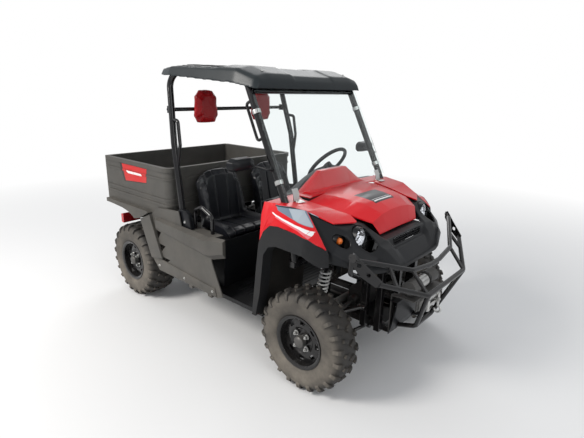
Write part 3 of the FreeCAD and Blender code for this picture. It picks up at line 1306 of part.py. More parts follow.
def cargo_bed():
    """Tipping tub, open at the back, with bands round its walls and the arch mouldings below."""
    low = BED_FLOOR_Z - BED_FLOOR_T
    outer = bed_block(0, (low, BED_TOP_Z))
    ahead = BED_FRONT_X - BED_CORNER_R - 1
    toe = [e for e in outer.Edges if e.BoundBox.ZMax < low + 1 and e.BoundBox.XMin > ahead]
    outer = outer.makeFillet(BED_TOE_R, toe)
    tub = outer.cut(bed_block(-BED_WALL, (BED_FLOOR_Z, BED_TOP_Z + 1), 1))
    hollow = bed_block(-BED_WALL / 2, (low - 1, BED_TOP_Z + 1), 1)
    pieces = [tub]
    for out, z0, z1 in BED_BANDS:
        pieces.append(bed_block(out, (z0, z1)).cut(hollow))
    for side in (-1, 1):
        arch = [(BED_REAR_X, 800), (BED_REAR_X, 770), (rear(-215), 768), (rear(-60), 760), (rear(30), 744),
                (rear(88), 722), (rear(112), 704), (rear(190), 722), (rear(325), 791), (rear(300), 800)]
        y = (BED_HALF - 1, BED_HALF + 34) if side > 0 else (-BED_HALF - 34, -BED_HALF + 1)
        pieces.append(side_plate(arch, y))
        lining = [(x, min(z, BED_FLOOR_Z - 2)) for x, z in arch]
        y = (BED_HALF - 40, BED_HALF) if side > 0 else (-BED_HALF, -BED_HALF + 40)
        pieces.append(side_plate(lining, y))
    return fused(pieces)


def bed_frame():
    """Two rails and cross members under the tub, with the pivot pins."""
    top = BED_FLOOR_Z - BED_FLOOR_T
    low = top - BED_RAIL
    pieces = []
    for side in (-1, 1):
        y0 = side * (REAR_DECK_Y - 6 - MOVE_GAP)
        rail = (min(y0, y0 - side * BED_RAIL), max(y0, y0 - side * BED_RAIL))
        pieces.append(box((BED_PIVOT_X - 24, BED_FRONT_X - 60), rail, (low, top)))
        pieces.append(rod(vec(BED_PIVOT_X, side * (REAR_DECK_Y - 30), BED_PIVOT_Z),
                          vec(BED_PIVOT_X, side * (REAR_DECK_Y + 20), BED_PIVOT_Z), PIVOT_R))
    for x in (rear(-60), rear(240), rear(480)):
        pieces.append(box((x, x + BED_RAIL), (-REAR_DECK_Y + 20, REAR_DECK_Y - 20), (low, top)))
    return fused(pieces)


GATE_X = rear(-REAR_REACH) + GATE_T / 2
GATE_Z = BED_FLOOR_Z - BED_FLOOR_T + GATE_T / 2


def tailgate():
    """Drop-down gate across the back of the bed, with a round lower edge on its hinge line."""
    plate = box((GATE_X - GATE_T / 2, GATE_X + GATE_T / 2), (-BED_HALF, BED_HALF), (GATE_Z, BED_TOP_Z))
    barrel = rod(vec(GATE_X, -BED_HALF, GATE_Z), vec(GATE_X, BED_HALF, GATE_Z), GATE_T / 2)
    return fused([plate, barrel])


# Output
def wheel_nodes():
    nodes = {}
    for place, x, y, width, half in (("front", FRONT_AXLE_X, FRONT_WHEEL_Y, FRONT_TYRE_W, FRONT_RIM_HALF),
                                     ("rear", REAR_AXLE_X, REAR_WHEEL_Y, REAR_TYRE_W, REAR_RIM_HALF)):
        left_tyre = tyre(x, y, width, half)
        left_rim = rim(x, y, half)
        nodes[f"tyre_{place}_left"] = left_tyre
        nodes[f"rim_{place}_left"] = left_rim
        nodes[f"tyre_{place}_right"] = mirrored(left_tyre)
        nodes[f"rim_{place}_right"] = mirrored(left_rim)
    return nodes


def running_gear():
    knuckle = upright(FRONT_AXLE_X, FRONT_WHEEL_Y, FRONT_RIM_HALF, True)
    rear_hub = upright(REAR_AXLE_X, REAR_WHEEL_Y, REAR_RIM_HALF, False)
    front_arms = arms(FRONT_AXLE_X, FRONT_WHEEL_Y)
    rear_arms = arms(REAR_AXLE_X, REAR_WHEEL_Y)
    return {
        "knuckle_left": knuckle,
        "knuckle_right": mirrored(knuckle),
        "rear_hubs": both(rear_hub),
        "front_arms": group(front_arms + [mirrored(a) for a in front_arms]),
        "rear_arms": group(rear_arms + [mirrored(a) for a in rear_arms]),
        "dampers": group([both(damper(FRONT_AXLE_X, FRONT_WHEEL_Y)),
                          both(damper(REAR_AXLE_X, REAR_WHEEL_Y))]),
        "coil_springs": group([both(spring(FRONT_AXLE_X, FRONT_WHEEL_Y)),
                               both(spring(REAR_AXLE_X, REAR_WHEEL_Y))]),
        "driveline": driveline(),
        "rack_housing": rack_housing(),
        "steering_rack": steering_rack(),
        "engine": engine(),
        "exhaust": exhaust(),
    }


def body_nodes():
    return {
        "chassis_frame": chassis_frame(),
        "front_subframe": front_subframe(),
        "rear_subframe": rear_subframe(),
        "roll_cage": roll_cage(),
        "roof": roof(),
        "windshield": windshield(),
        "windshield_clamps": windshield_clamps(),
        "front_fenders": front_fenders(),
        "hood_lid": hood_lid(),
        "front_fascia": front_fascia(),
        "headlamps": lamps(LAMP_X, LAMP_Y, LAMP_Z, LAMP_R, 34),
        "indicator_lamps": lamps(BLINKER_X, BLINKER_Y, BLINKER_Z, BLINKER_R, 16),
        "grille": grille(),
        "fender_flares": fender_flares(),
        "arch_liners": arch_liners(),
        "dash": dash(),
        "floor_pan": floor_pan(),
        "seat_box": seat_box(),
        "side_panels": side_panels(),
        "seat_driver": seat(SEAT_Y),
        "seat_passenger": seat(-SEAT_Y),
        "headrests": headrests(),
        "hip_rails": hip_rails(),
        "mirrors": mirrors(),
        "grab_handle": grab_handle(),
        "bull_bar": bull_bar(),
        "winch": winch(),
        "fairlead": fairlead(),
        "belly_plate": belly_plate(),
        "tail_lamps": tail_lamps(),
        "driver_controls": driver_controls(),
        "steering_wheel": steering_wheel(),
        "cargo_bed": cargo_bed(),
        "bed_frame": bed_frame(),
        "tailgate": tailgate(),
    }


def main():
    os.makedirs("parts", exist_ok=True)
    for nodes in (wheel_nodes(), running_gear(), body_nodes()):
        for name, shape in nodes.items():
            shape.exportStep(f"parts/{name}.step")
            print(name, len(shape.Solids), shape.isValid(), round(shape.Volume / 1e6, 2))


main()
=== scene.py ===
# %% [markdown]
# A side-by-side utility vehicle, dressed for a studio photograph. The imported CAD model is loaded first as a
# fixed frame. Every piece made here lies in the same coordinates, in metres: X forward, Y to the vehicle's
# left, Z up, with the ground at zero.

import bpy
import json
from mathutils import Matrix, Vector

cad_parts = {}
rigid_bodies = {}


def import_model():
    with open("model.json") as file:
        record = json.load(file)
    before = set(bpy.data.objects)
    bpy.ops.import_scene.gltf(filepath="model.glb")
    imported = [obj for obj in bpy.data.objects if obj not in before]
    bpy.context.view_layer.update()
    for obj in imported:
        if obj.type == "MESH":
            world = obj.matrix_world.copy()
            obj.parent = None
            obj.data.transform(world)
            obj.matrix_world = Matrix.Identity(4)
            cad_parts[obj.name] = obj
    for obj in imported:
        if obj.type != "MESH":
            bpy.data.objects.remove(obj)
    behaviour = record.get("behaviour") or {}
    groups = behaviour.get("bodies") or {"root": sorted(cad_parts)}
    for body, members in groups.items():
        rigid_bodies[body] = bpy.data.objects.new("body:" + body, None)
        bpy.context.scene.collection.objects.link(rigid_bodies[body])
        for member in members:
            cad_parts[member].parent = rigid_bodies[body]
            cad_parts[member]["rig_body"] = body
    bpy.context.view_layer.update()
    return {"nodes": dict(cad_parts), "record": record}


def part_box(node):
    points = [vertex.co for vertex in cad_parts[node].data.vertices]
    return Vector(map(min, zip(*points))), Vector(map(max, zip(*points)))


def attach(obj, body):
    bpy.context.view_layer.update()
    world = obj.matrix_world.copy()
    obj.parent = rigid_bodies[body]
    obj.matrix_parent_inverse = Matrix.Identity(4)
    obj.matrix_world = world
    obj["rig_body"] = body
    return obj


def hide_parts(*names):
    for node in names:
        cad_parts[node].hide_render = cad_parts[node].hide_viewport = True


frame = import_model()

# %% [markdown]
# A few names serve the whole script: the CAD nodes with their slots, the axes, and a row for each wheel
# with its centre, its outward direction, and the half widths of its tyre and rim.

# %% Names used throughout
import json
import math

import bmesh
import bpy
from mathutils import Matrix, Vector

scene = bpy.context.scene
nodes = frame["nodes"]
slots = {row["node"]: row["material_slot"] for row in frame["record"]["subparts"]}
FRONT_AXLE = Vector((0.808, 0.0, 0.310))
REAR_AXLE = Vector((-1.022, 0.0, 0.310))
X_AXIS, Y_AXIS, Z_AXIS = Vector((1, 0, 0)), Vector((0, 1, 0)), Vector((0, 0, 1))
SIDES = {"left": 1, "right": -1}
WHEELS = []
for place, axle, y, half, rim_half in (("front", FRONT_AXLE, 0.585, 0.1015, 0.090),
                                       ("rear", REAR_AXLE, 0.560, 0.127, 0.115)):
    for name, side in SIDES.items():
        WHEELS.append((f"{place}_{name}", axle + side * y * Y_AXIS, side * Y_AXIS, half, rim_half))

# %% [markdown]
# The camera stands ahead of the right front corner at head height, where the photograph was taken. Its place
# and turn were fitted to points that can be read in the photograph, such as the wheel centres and the posts.

# %% Camera
CAMERA_PLACE = Vector((2.226, -2.378, 1.709))
CAMERA_YAW = math.radians(131.01)
CAMERA_PITCH = math.radians(-16.45)
CAMERA_ROLL = math.radians(1.21)


def aim():
    """Turn of the camera as a matrix, from yaw, pitch and roll."""
    level = math.cos(CAMERA_PITCH)
    ahead = Vector((level * math.cos(CAMERA_YAW), level * math.sin(CAMERA_YAW), math.sin(CAMERA_PITCH)))
    right = Vector((math.sin(CAMERA_YAW), -math.cos(CAMERA_YAW), 0.0))
    up = right.cross(ahead)
    c, s = math.cos(CAMERA_ROLL), math.sin(CAMERA_ROLL)
    return Matrix((c * right + s * up, c * up - s * right, -ahead)).transposed()


camera_data = bpy.data.cameras.new("camera")
camera_data.sensor_width = 36.0
camera_data.lens = 26.94
camera = bpy.data.objects.new("camera", camera_data)
camera.matrix_world = Matrix.Translation(CAMERA_PLACE) @ aim().to_4x4()
scene.collection.objects.link(camera)
scene.camera = camera
print("camera", tuple(round(v, 3) for v in CAMERA_PLACE))

# %% [markdown]
# Materials are built from shader nodes in code. Small helpers keep that short: they make a node with its
# settings, a Math node, a mapped range, a mix of two colours, a material, a node group and a noise texture.

# %% Helpers for shader nodes
def put(tree, kind, **values):
    """New shader node with its settings and its unlinked inputs."""
    node = tree.nodes.new(kind)
    for key, value in values.items():
        if key in node.inputs:
            node.inputs[key].default_value = value
        else:
            setattr(node, key, value)
    return node


def calc(tree, operation, *values, clamp=False):
    """Math node on sockets or plain numbers."""
    node = put(tree, "ShaderNodeMath", operation=operation, use_clamp=clamp)
    for socket, value in zip(node.inputs, values):
        if isinstance(value, (int, float)):
            socket.default_value = value
        else:
            tree.links.new(value, socket)
    return node.outputs[0]


def span(tree, value, low, high, start=0.0, end=1.0):
    """Map Range node that takes low to high onto start to end, kept inside them."""
    node = put(tree, "ShaderNodeMapRange")
    tree.links.new(value, node.inputs["Value"])
    for label, limit in (("From Min", low), ("From Max", high), ("To Min", start), ("To Max", end)):
        if isinstance(limit, (int, float)):
            node.inputs[label].default_value = limit
        else:
            tree.links.new(limit, node.inputs[label])
    return node.outputs[0]


def mixed(tree, mask, first, second):
    """Colour mix of two colours or sockets by a mask."""
    node = put(tree, "ShaderNodeMix", data_type="RGBA")
    tree.links.new(mask, node.inputs[0])
    for socket, value in ((node.inputs[6], first), (node.inputs[7], second)):
        if isinstance(value, tuple):
            socket.default_value = (*value, 1.0)
        else:
            tree.links.new(value, socket)
    return node.outputs[2]


def new_material(name):
    """Material with its node tree and its main shader."""
    mat = bpy.data.materials.new(name)
    mat.use_nodes = True
    return mat, mat.node_tree, mat.node_tree.nodes["Principled BSDF"]


def new_group(name, inputs, outputs):
    """Empty node group with number sockets in and out, and its object coordinates."""
    group = bpy.data.node_groups.new(name, "ShaderNodeTree")
    for label, value in inputs:
        socket = group.interface.new_socket(label, in_out="INPUT", socket_type="NodeSocketFloat")
        socket.default_value = value
    for label in outputs:
        group.interface.new_socket(label, in_out="OUTPUT", socket_type="NodeSocketFloat")
    spot = group.nodes.new("ShaderNodeTexCoord").outputs["Object"]
    return group, group.nodes.new("NodeGroupInput"), group.nodes.new("NodeGroupOutput"), spot


def noise(tree, spot, scale, detail=3.0, roughness=0.6):
    """Noise texture at a place, with its scale as a number or a socket."""
    texture = put(tree, "ShaderNodeTexNoise", Detail=detail, Roughness=roughness)
    tree.links.new(spot, texture.inputs["Vector"])
    if isinstance(scale, (int, float)):
        texture.inputs["Scale"].default_value = scale
    else:
        tree.links.new(scale, texture.inputs["Scale"])
    return texture.outputs["Fac"]


print("shader helpers ready")

# %% [markdown]
# Shared surface effects are shader node groups. Grain gives the pebbled height of moulded plastic and vinyl,
# a slow drift in tone, and fine scuffs that change the gloss. Each material sets its own scales.

# %% Surface grain
grain_group, gin, gout, spot = new_group(
    "surface_grain", [("Scale", 400.0), ("Drift", 3.0)], ["Height", "Tone", "Scuff"])
grain_group.links.new(noise(grain_group, spot, gin.outputs["Scale"]), gout.inputs["Height"])
grain_group.links.new(noise(grain_group, spot, gin.outputs["Drift"], 4.0, 0.55), gout.inputs["Tone"])
stretch = put(grain_group, "ShaderNodeMapping", Scale=(1.0, 6.0, 9.0), Rotation=(0.5, 0.3, 0.9))
grain_group.links.new(spot, stretch.inputs["Vector"])
streak = noise(grain_group, stretch.outputs[0], 16.0, 5.0, 0.7)
grain_group.links.new(span(grain_group, streak, 0.52, 0.75), gout.inputs["Scuff"])
print("group", grain_group.name)

# %% [markdown]
# Dust settles more on low places and on faces that look up, in soft patches. A material can keep most of it
# to faces that look sideways, as the walls of a tyre do. The group puts out one mask, which a material uses
# both to tint its colour and to dull its gloss.

# %% Road dust
dust_group, din, dout, spot = new_group(
    "road_dust", [("Amount", 0.5), ("Top", 1.0), ("Patch", 7.0), ("Sides", 0.0)], ["Mask"])
height = put(dust_group, "ShaderNodeSeparateXYZ")
dust_group.links.new(spot, height.inputs[0])
low = span(dust_group, height.outputs["Z"], din.outputs["Top"], 0.05, 0.25, 1.0)
patchy = span(dust_group, noise(dust_group, spot, din.outputs["Patch"], 6.0, 0.65), 0.3, 0.7, 0.35, 1.0)
facing = put(dust_group, "ShaderNodeSeparateXYZ")
dust_group.links.new(dust_group.nodes.new("ShaderNodeNewGeometry").outputs["Normal"], facing.inputs[0])
lying = span(dust_group, facing.outputs["Z"], -0.3, 1.0, 0.45, 1.0)
sideways = calc(dust_group, "POWER", calc(dust_group, "ABSOLUTE", facing.outputs["Y"]), 3.0)
flat_only = calc(dust_group, "MULTIPLY_ADD", calc(dust_group, "SUBTRACT", sideways, 1.0),
                 din.outputs["Sides"], 1.0)
settled = calc(dust_group, "MULTIPLY", calc(dust_group, "MULTIPLY", low, patchy),
               calc(dust_group, "MULTIPLY", lying, flat_only))
veil = calc(dust_group, "MULTIPLY", settled, din.outputs["Amount"], clamp=True)
dust_group.links.new(veil, dout.inputs["Mask"])
print("group", dust_group.name)

# %% [markdown]
# Stickers and painted bands are four-sided patches in the finish, not pieces. The patch group takes the two
# coordinates of a view and four straight edges, and puts out 1 where a point lies inside all of them.

# %% Patch with four straight edges
EDGES = [(n, label) for n in range(4) for label in "ABC"]
SOFT_EDGE = 0.0003
patch_group, pin, pout, _ = new_group(
    "patch", [("U", 0.0), ("V", 0.0)] + [(f"{label}{n}", 0.0) for n, label in EDGES], ["Mask"])
inside = None
for n in range(4):
    across = calc(patch_group, "MULTIPLY", pin.outputs["U"], pin.outputs[f"A{n}"])
    up = calc(patch_group, "MULTIPLY_ADD", pin.outputs["V"], pin.outputs[f"B{n}"], across)
    reach = calc(patch_group, "ADD", up, pin.outputs[f"C{n}"])
    edge = span(patch_group, reach, -SOFT_EDGE, SOFT_EDGE)
    inside = edge if inside is None else calc(patch_group, "MULTIPLY", inside, edge)
patch_group.links.new(inside, pout.inputs["Mask"])


def patch(tree, view, corners):
    """Mask of a patch: view names its two coordinates, corners go round it in metres."""
    spot = tree.nodes.new("ShaderNodeTexCoord").outputs["Object"]
    split = put(tree, "ShaderNodeSeparateXYZ")
    tree.links.new(spot, split.inputs[0])
    node = put(tree, "ShaderNodeGroup", node_tree=patch_group)
    for label, axis in zip("UV", view):
        tree.links.new(split.outputs[axis], node.inputs[label])
    pairs = list(zip(corners, corners[1:] + corners[:1]))
    area = sum(a[0] * b[1] - b[0] * a[1] for a, b in pairs)
    for n, (a, b) in enumerate(pairs):
        run = math.dist(a, b) * (1 if area > 0 else -1)
        slope = ((a[1] - b[1]) / run, (b[0] - a[0]) / run)
        node.inputs[f"A{n}"].default_value = slope[0]
        node.inputs[f"B{n}"].default_value = slope[1]
        node.inputs[f"C{n}"].default_value = -slope[0] * a[0] - slope[1] * a[1]
    return node.outputs["Mask"], split


print("group", patch_group.name)

# %% [markdown]
# One maker of finishes serves most of the vehicle: a base colour that drifts a little, painted patches where
# a panel has them, a pebbled bump, and a veil of pale brown dust that also dulls the gloss. Each finish is
# then one line of its own values.

# %% Maker of finishes
DUST_COLOUR, DUSTY_ROUGH = (0.30, 0.265, 0.22), 0.95
COAT_ROUGH, SCUFF_ROUGH, GRAIN_DEPTH = 0.06, 0.06, 0.001
LOOKS_OUT = 0.15
finishes = {}


def finish(name, colour, rough, grain, metal=0.0, coat=0.0, dust=(0.0, 1.0, 0.0), drift=0.18, shine=0.3,
           patches=()):
    """Material of a finish: grain is scale and bump; dust is amount, top and how much it keeps to the sides.

    A patch seen from the side is painted only where the panel looks away from the vehicle's middle."""
    mat, tree, shader = new_material(name)
    shader.inputs["Metallic"].default_value = metal
    shader.inputs["Coat Weight"].default_value = coat
    shader.inputs["Coat Roughness"].default_value = COAT_ROUGH
    shader.inputs["Specular IOR Level"].default_value = shine
    surface = put(tree, "ShaderNodeGroup", node_tree=grain_group)
    surface.inputs["Scale"].default_value = grain[0]
    veil = put(tree, "ShaderNodeGroup", node_tree=dust_group)
    for label, value in zip(("Amount", "Top", "Sides"), dust):
        veil.inputs[label].default_value = value
    tone = span(tree, surface.outputs["Tone"], 0.3, 0.7, 1.0 - drift, 1.0 + drift)
    tint = put(tree, "ShaderNodeMix", data_type="RGBA", blend_type="MULTIPLY")
    tint.inputs[0].default_value = 1.0
    tint.inputs[6].default_value = (*colour, 1.0)
    tree.links.new(tone, tint.inputs[7])
    skin = tint.outputs[2]
    facing = put(tree, "ShaderNodeSeparateXYZ")
    tree.links.new(tree.nodes.new("ShaderNodeNewGeometry").outputs["Normal"], facing.inputs[0])
    for view, corners, shade in patches:
        mask, split = patch(tree, view, corners)
        if view == "XZ":
            turned_out = calc(tree, "MULTIPLY", split.outputs["Y"], facing.outputs["Y"])
            mask = calc(tree, "MULTIPLY", mask, calc(tree, "GREATER_THAN", turned_out, LOOKS_OUT))
        skin = mixed(tree, mask, skin, shade)
    veiled = mixed(tree, veil.outputs["Mask"], skin, DUST_COLOUR)
    tree.links.new(veiled, shader.inputs["Base Color"])
    dulled = span(tree, veil.outputs["Mask"], 0.0, 1.0, rough, DUSTY_ROUGH)
    scuffed = calc(tree, "MULTIPLY_ADD", surface.outputs["Scuff"], SCUFF_ROUGH, dulled)
    tree.links.new(scuffed, shader.inputs["Roughness"])
    bump = put(tree, "ShaderNodeBump", Distance=GRAIN_DEPTH)
    bump.inputs["Strength"].default_value = grain[1]
    tree.links.new(surface.outputs["Height"], bump.inputs["Height"])
    tree.links.new(bump.outputs[0], shader.inputs["Normal"])
    finishes[name] = mat


print("finish maker ready")

# %% [markdown]
# The hood carries a dark patch with two plain pale lines. The front wings carry a slate and silver flash
# over a white and rose line, and the bed's sides a red bar edged in black with a pale stripe. All are plain
# shapes.

# %% Painted patches
BLACK, WHITE, PALE = (0.012, 0.012, 0.014), (0.80, 0.80, 0.80), (0.78, 0.76, 0.76)
ROSE, SILVER, SLATE = (0.72, 0.16, 0.19), (0.36, 0.41, 0.46), (0.15, 0.20, 0.26)
DEEP_RED = (0.50, 0.010, 0.012)
HOOD_PATCHES = [("XY", [(0.773, -0.125), (0.773, 0.125), (0.925, 0.112), (0.925, -0.112)], BLACK)]
for start, width in ((0.902, 0.010), (0.888, 0.004)):
    pale_line = [(start, -0.103), (start, 0.103), (start + width, 0.102), (start + width, -0.102)]
    HOOD_PATCHES.append(("XY", pale_line, WHITE))
WING_PATCHES = [
    ("XZ", [(0.558, 1.037), (0.782, 0.999), (0.782, 0.990), (0.558, 1.031)], WHITE),
    ("XZ", [(0.782, 0.999), (0.868, 0.978), (0.868, 0.964), (0.782, 0.990)], WHITE),
    ("XZ", [(0.868, 0.978), (0.942, 0.928), (0.932, 0.920), (0.868, 0.964)], WHITE),
    ("XZ", [(0.600, 1.022), (0.782, 0.990), (0.782, 0.984), (0.600, 1.018)], ROSE),
    ("XZ", [(0.782, 0.990), (0.868, 0.964), (0.868, 0.956), (0.782, 0.984)], ROSE),
    ("XZ", [(0.558, 1.076), (0.788, 1.078), (0.856, 0.992), (0.595, 1.051)], SLATE),
    ("XZ", [(0.650, 1.068), (0.740, 1.070), (0.836, 0.998), (0.715, 1.026)], SILVER),
    ("XZ", [(0.760, 1.070), (0.782, 1.070), (0.842, 0.999), (0.835, 1.000)], SILVER),
    ("XZ", [(0.558, 1.0745), (0.788, 1.0765), (0.789, 1.0705), (0.561, 1.0685)], BLACK),
]
BED_PATCHES = [
    ("XZ", [(-1.130, 1.126), (-0.722, 1.124), (-0.738, 1.004), (-1.072, 0.978)], BLACK),
    ("XZ", [(-1.096, 1.120), (-0.728, 1.118), (-0.743, 1.010), (-1.050, 0.986)], DEEP_RED),
    ("XZ", [(-1.020, 1.072), (-0.800, 1.070), (-0.806, 1.052), (-1.012, 1.050)], PALE),
]
print(len(HOOD_PATCHES) + len(WING_PATCHES) + len(BED_PATCHES), "painted patches")

# %% [markdown]
# The finishes follow: rubber, painted and bare metals, moulded plastics, vinyl and lamp colours. The hood and
# the wings share one red and differ only in their painted patches.

# %% Finishes
BODY_RED = (0.62, 0.002, 0.008)
MOULD_GREY = (0.050, 0.049, 0.046)
finish("tyre_rubber", (0.011, 0.011, 0.012), 0.55, grain=(220.0, 0.25), dust=(1.25, 0.75, 0.80))
finish("rim_black", (0.005, 0.005, 0.006), 0.16, coat=0.3, grain=(500.0, 0.04), dust=(0.06, 0.6))
finish("black_steel", (0.004, 0.004, 0.005), 0.18, coat=0.3, grain=(600.0, 0.05), dust=(0.06, 0.9))
finish("grey_steel", (0.09, 0.09, 0.09), 0.42, metal=0.6, grain=(500.0, 0.06), dust=(0.30, 0.9))
for name, patches in (("hood_paint", HOOD_PATCHES), ("wing_paint", WING_PATCHES)):
    finish(name, BODY_RED, 0.28, coat=0.14, grain=(90.0, 0.01), dust=(0.02, 1.1), drift=0.04, shine=0.34,
           patches=patches)
finish("grey_plastic", MOULD_GREY, 0.48, grain=(380.0, 0.16), dust=(0.38, 1.35))
finish("bed_plastic", MOULD_GREY, 0.48, grain=(380.0, 0.16), dust=(0.38, 1.45), patches=BED_PATCHES)
finish("arch_plastic", (0.007, 0.008, 0.010), 0.36, grain=(420.0, 0.16), dust=(0.12, 1.05), shine=0.22)
finish("black_plastic", (0.005, 0.006, 0.008), 0.34, grain=(420.0, 0.12), dust=(0.05, 1.1), shine=0.22)
finish("liner_plastic", (0.008, 0.008, 0.008), 0.70, grain=(120.0, 0.6), dust=(0.25, 1.0), shine=0.15)
finish("roof_plastic", (0.011, 0.016, 0.019), 0.38, grain=(420.0, 0.12), dust=(0.05, 2.2))
finish("seat_vinyl", (0.006, 0.007, 0.010), 0.30, grain=(300.0, 0.20), dust=(0.03, 1.2), shine=0.4)
finish("red_vinyl", (0.36, 0.003, 0.006), 0.30, grain=(300.0, 0.14), dust=(0.01, 1.9), drift=0.12)
finish("white_coil", (0.72, 0.72, 0.70), 0.30, coat=0.4, grain=(300.0, 0.03), dust=(0.12, 0.8), drift=0.06)
finish("bare_steel", (0.55, 0.55, 0.54), 0.28, metal=1.0, grain=(420.0, 0.10), dust=(0.10, 0.9))
finish("cast_aluminium", (0.28, 0.28, 0.27), 0.48, metal=0.85, grain=(260.0, 0.25), dust=(0.40, 0.8))
finish("lamp_amber", (0.72, 0.15, 0.010), 0.12, coat=0.6, grain=(200.0, 0.02), drift=0.05)
finish("lamp_red", (0.42, 0.005, 0.010), 0.16, coat=0.6, grain=(200.0, 0.02), dust=(0.06, 0.9), drift=0.05)
finish("reflector", (0.90, 0.90, 0.91), 0.08, metal=1.0, grain=(200.0, 0.01), drift=0.03)
# socket_black is darker and duller than black plastic; on the grille and the screen behind it, it is painted
# shade for the nose's dark slot.
finish("socket_black", (0.004, 0.004, 0.005), 0.45, grain=(400.0, 0.05), drift=0.1, shine=0.2)
print(len(finishes), "finishes")

# %% [markdown]
# Glass is kept apart: clear plastic for the windshield and the lamp lenses, tinted a little, with smears that
# only change its roughness.

# %% Clear finishes
SMEAR_SCALE, SMEAR_ROUGH = 9.0, 0.05


def clear_finish(name, colour, rough, ior):
    """Clear plastic with faint smears."""
    mat, tree, shader = new_material(name)
    shader.inputs["Base Color"].default_value = (*colour, 1.0)
    shader.inputs["Transmission Weight"].default_value = 1.0
    shader.inputs["IOR"].default_value = ior
    surface = put(tree, "ShaderNodeGroup", node_tree=grain_group)
    surface.inputs["Scale"].default_value = SMEAR_SCALE
    smears = span(tree, surface.outputs["Height"], 0.35, 0.75, rough, rough + SMEAR_ROUGH)
    tree.links.new(smears, shader.inputs["Roughness"])
    finishes[name] = mat


clear_finish("clear_screen", (0.90, 0.95, 0.95), 0.0, 1.25)
clear_finish("lamp_clear", (0.95, 0.97, 1.0), 0.01, 1.35)
print("clear finishes added")

# %% [markdown]
# Pieces end as mesh objects at the origin. Faces shade smooth, and edges sharper than an angle stay crisp. A
# piece that stands for CAD nodes takes the finish of their slot, unless it has a look of its own, rides on
# their body, and hides them.

# %% Helpers for pieces
SHARP = math.radians(38.0)
FLAT = math.radians(0.6)
MERGE_GAP, POLE_GAP = 2e-5, 1e-6


def to_object(bm, name, sharp=SHARP):
    """Mesh object from a bmesh, shaded smooth but for its sharp edges."""
    mesh = bpy.data.meshes.new(name)
    bm.to_mesh(mesh)
    bm.free()
    mesh.polygons.foreach_set("use_smooth", [True] * len(mesh.polygons))
    mesh.set_sharp_from_angle(angle=sharp)
    obj = bpy.data.objects.new(name, mesh)
    scene.collection.objects.link(obj)
    return obj


def dress(obj, slot_name, body, look=None, stands_for=()):
    """Give a piece the finish of its look, or else of its slot, and its body, and hide the CAD nodes it
    stands for.
    """
    obj.data.materials.clear()
    obj.data.materials.append(finishes[look or slot_name])
    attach(obj, body)
    if stands_for:
        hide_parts(*stands_for)
    return obj


def body_of(node):
    """Name of the body that a CAD node rides on."""
    return nodes[node]["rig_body"]


def merged_copy(node):
    """A CAD node's mesh as one clean bmesh, with flat neighbours joined."""
    bm = bmesh.new()
    bm.from_mesh(nodes[node].data)
    bmesh.ops.remove_doubles(bm, verts=bm.verts, dist=MERGE_GAP)
    bmesh.ops.dissolve_limit(bm, angle_limit=FLAT, verts=bm.verts, edges=bm.edges)
    return bm


def both_sides(bm):
    """Add the mirror image across the vehicle's middle."""
    bmesh.ops.mirror(bm, geom=bm.verts[:] + bm.edges[:] + bm.faces[:], axis="Y", merge_dist=-1.0)
    bmesh.ops.recalc_face_normals(bm, faces=bm.faces)


def placed(spot, direction, axis="Z"):
    """Matrix that moves a shape to a spot and turns one of its axes along a direction."""
    return Matrix.Translation(spot) @ direction.to_track_quat(axis, "Y").to_matrix().to_4x4()


def bevelled(bm, edges, width):
    """Round off edges in two steps."""
    bmesh.ops.bevel(bm, geom=edges, offset=width, offset_type="OFFSET", affect="EDGES", segments=2,
                    profile=0.5, clamp_overlap=True, material=-1)


def turned(bm, profile, centre, axis, steps):
    """Spin a profile of (distance along the axis, radius) round the axis, and close its poles."""
    side = axis.orthogonal().normalized()
    verts = [bm.verts.new(centre + axis * along + side * radius) for along, radius in profile]
    edges = [bm.edges.new(pair) for pair in zip(verts, verts[1:])]
    bmesh.ops.spin(bm, geom=verts + edges, cent=centre, axis=axis, dvec=(0, 0, 0), angle=math.tau,
                   steps=steps, use_merge=True)
    bmesh.ops.remove_doubles(bm, verts=bm.verts, dist=POLE_GAP)
    bmesh.ops.recalc_face_normals(bm, faces=bm.faces)


def bar(bm, start, end, radius, sides, tip=None):
    """Round bar from one point to another, with closed ends; tip is the radius at its far end."""
    along = end - start
    bmesh.ops.create_cone(bm, cap_ends=True, segments=sides, radius1=radius,
                          radius2=radius if tip is None else tip, depth=along.length,
                          matrix=placed((start + end) / 2, along))


def stack(bm, foot, out, steps):
    """Turned steps set on each other; each gives its two heights, its sides and its two radii."""
    for low, high, sides, radius, tip in steps:
        bar(bm, foot + out * low, foot + out * high, radius, sides, tip)


def wound(bm, place, radius, sides, centre, axis, climb, angle, steps):
    """Helix with closed ends: a circle of wire carried round an axis while it climbs."""
    ring = bmesh.ops.create_circle(bm, segments=sides, radius=radius, matrix=place)["verts"]
    edges = list({e for v in ring for e in v.link_edges})
    bmesh.ops.spin(bm, geom=ring + edges, cent=centre, axis=axis, dvec=axis * climb / steps, angle=angle,
                   steps=steps)
    bmesh.ops.holes_fill(bm, edges=[e for e in bm.edges if e.is_boundary], sides=sides)
    bmesh.ops.recalc_face_normals(bm, faces=bm.faces)


def block(bm, corners, run, bevel):
    """Flat outline of corners carried along a run, with its edges bevelled."""
    flat = bm.faces.new([bm.verts.new(c) for c in corners])
    made = bmesh.ops.extrude_face_region(bm, geom=[flat])["geom"]
    moved = [v for v in made if isinstance(v, bmesh.types.BMVert)]
    bmesh.ops.translate(bm, verts=moved, vec=run)
    faces = {f for v in moved for f in v.link_faces} | {flat}
    bevelled(bm, list({e for f in faces for e in f.edges}), bevel)
    bmesh.ops.recalc_face_normals(bm, faces=bm.faces)


print("piece helpers ready")
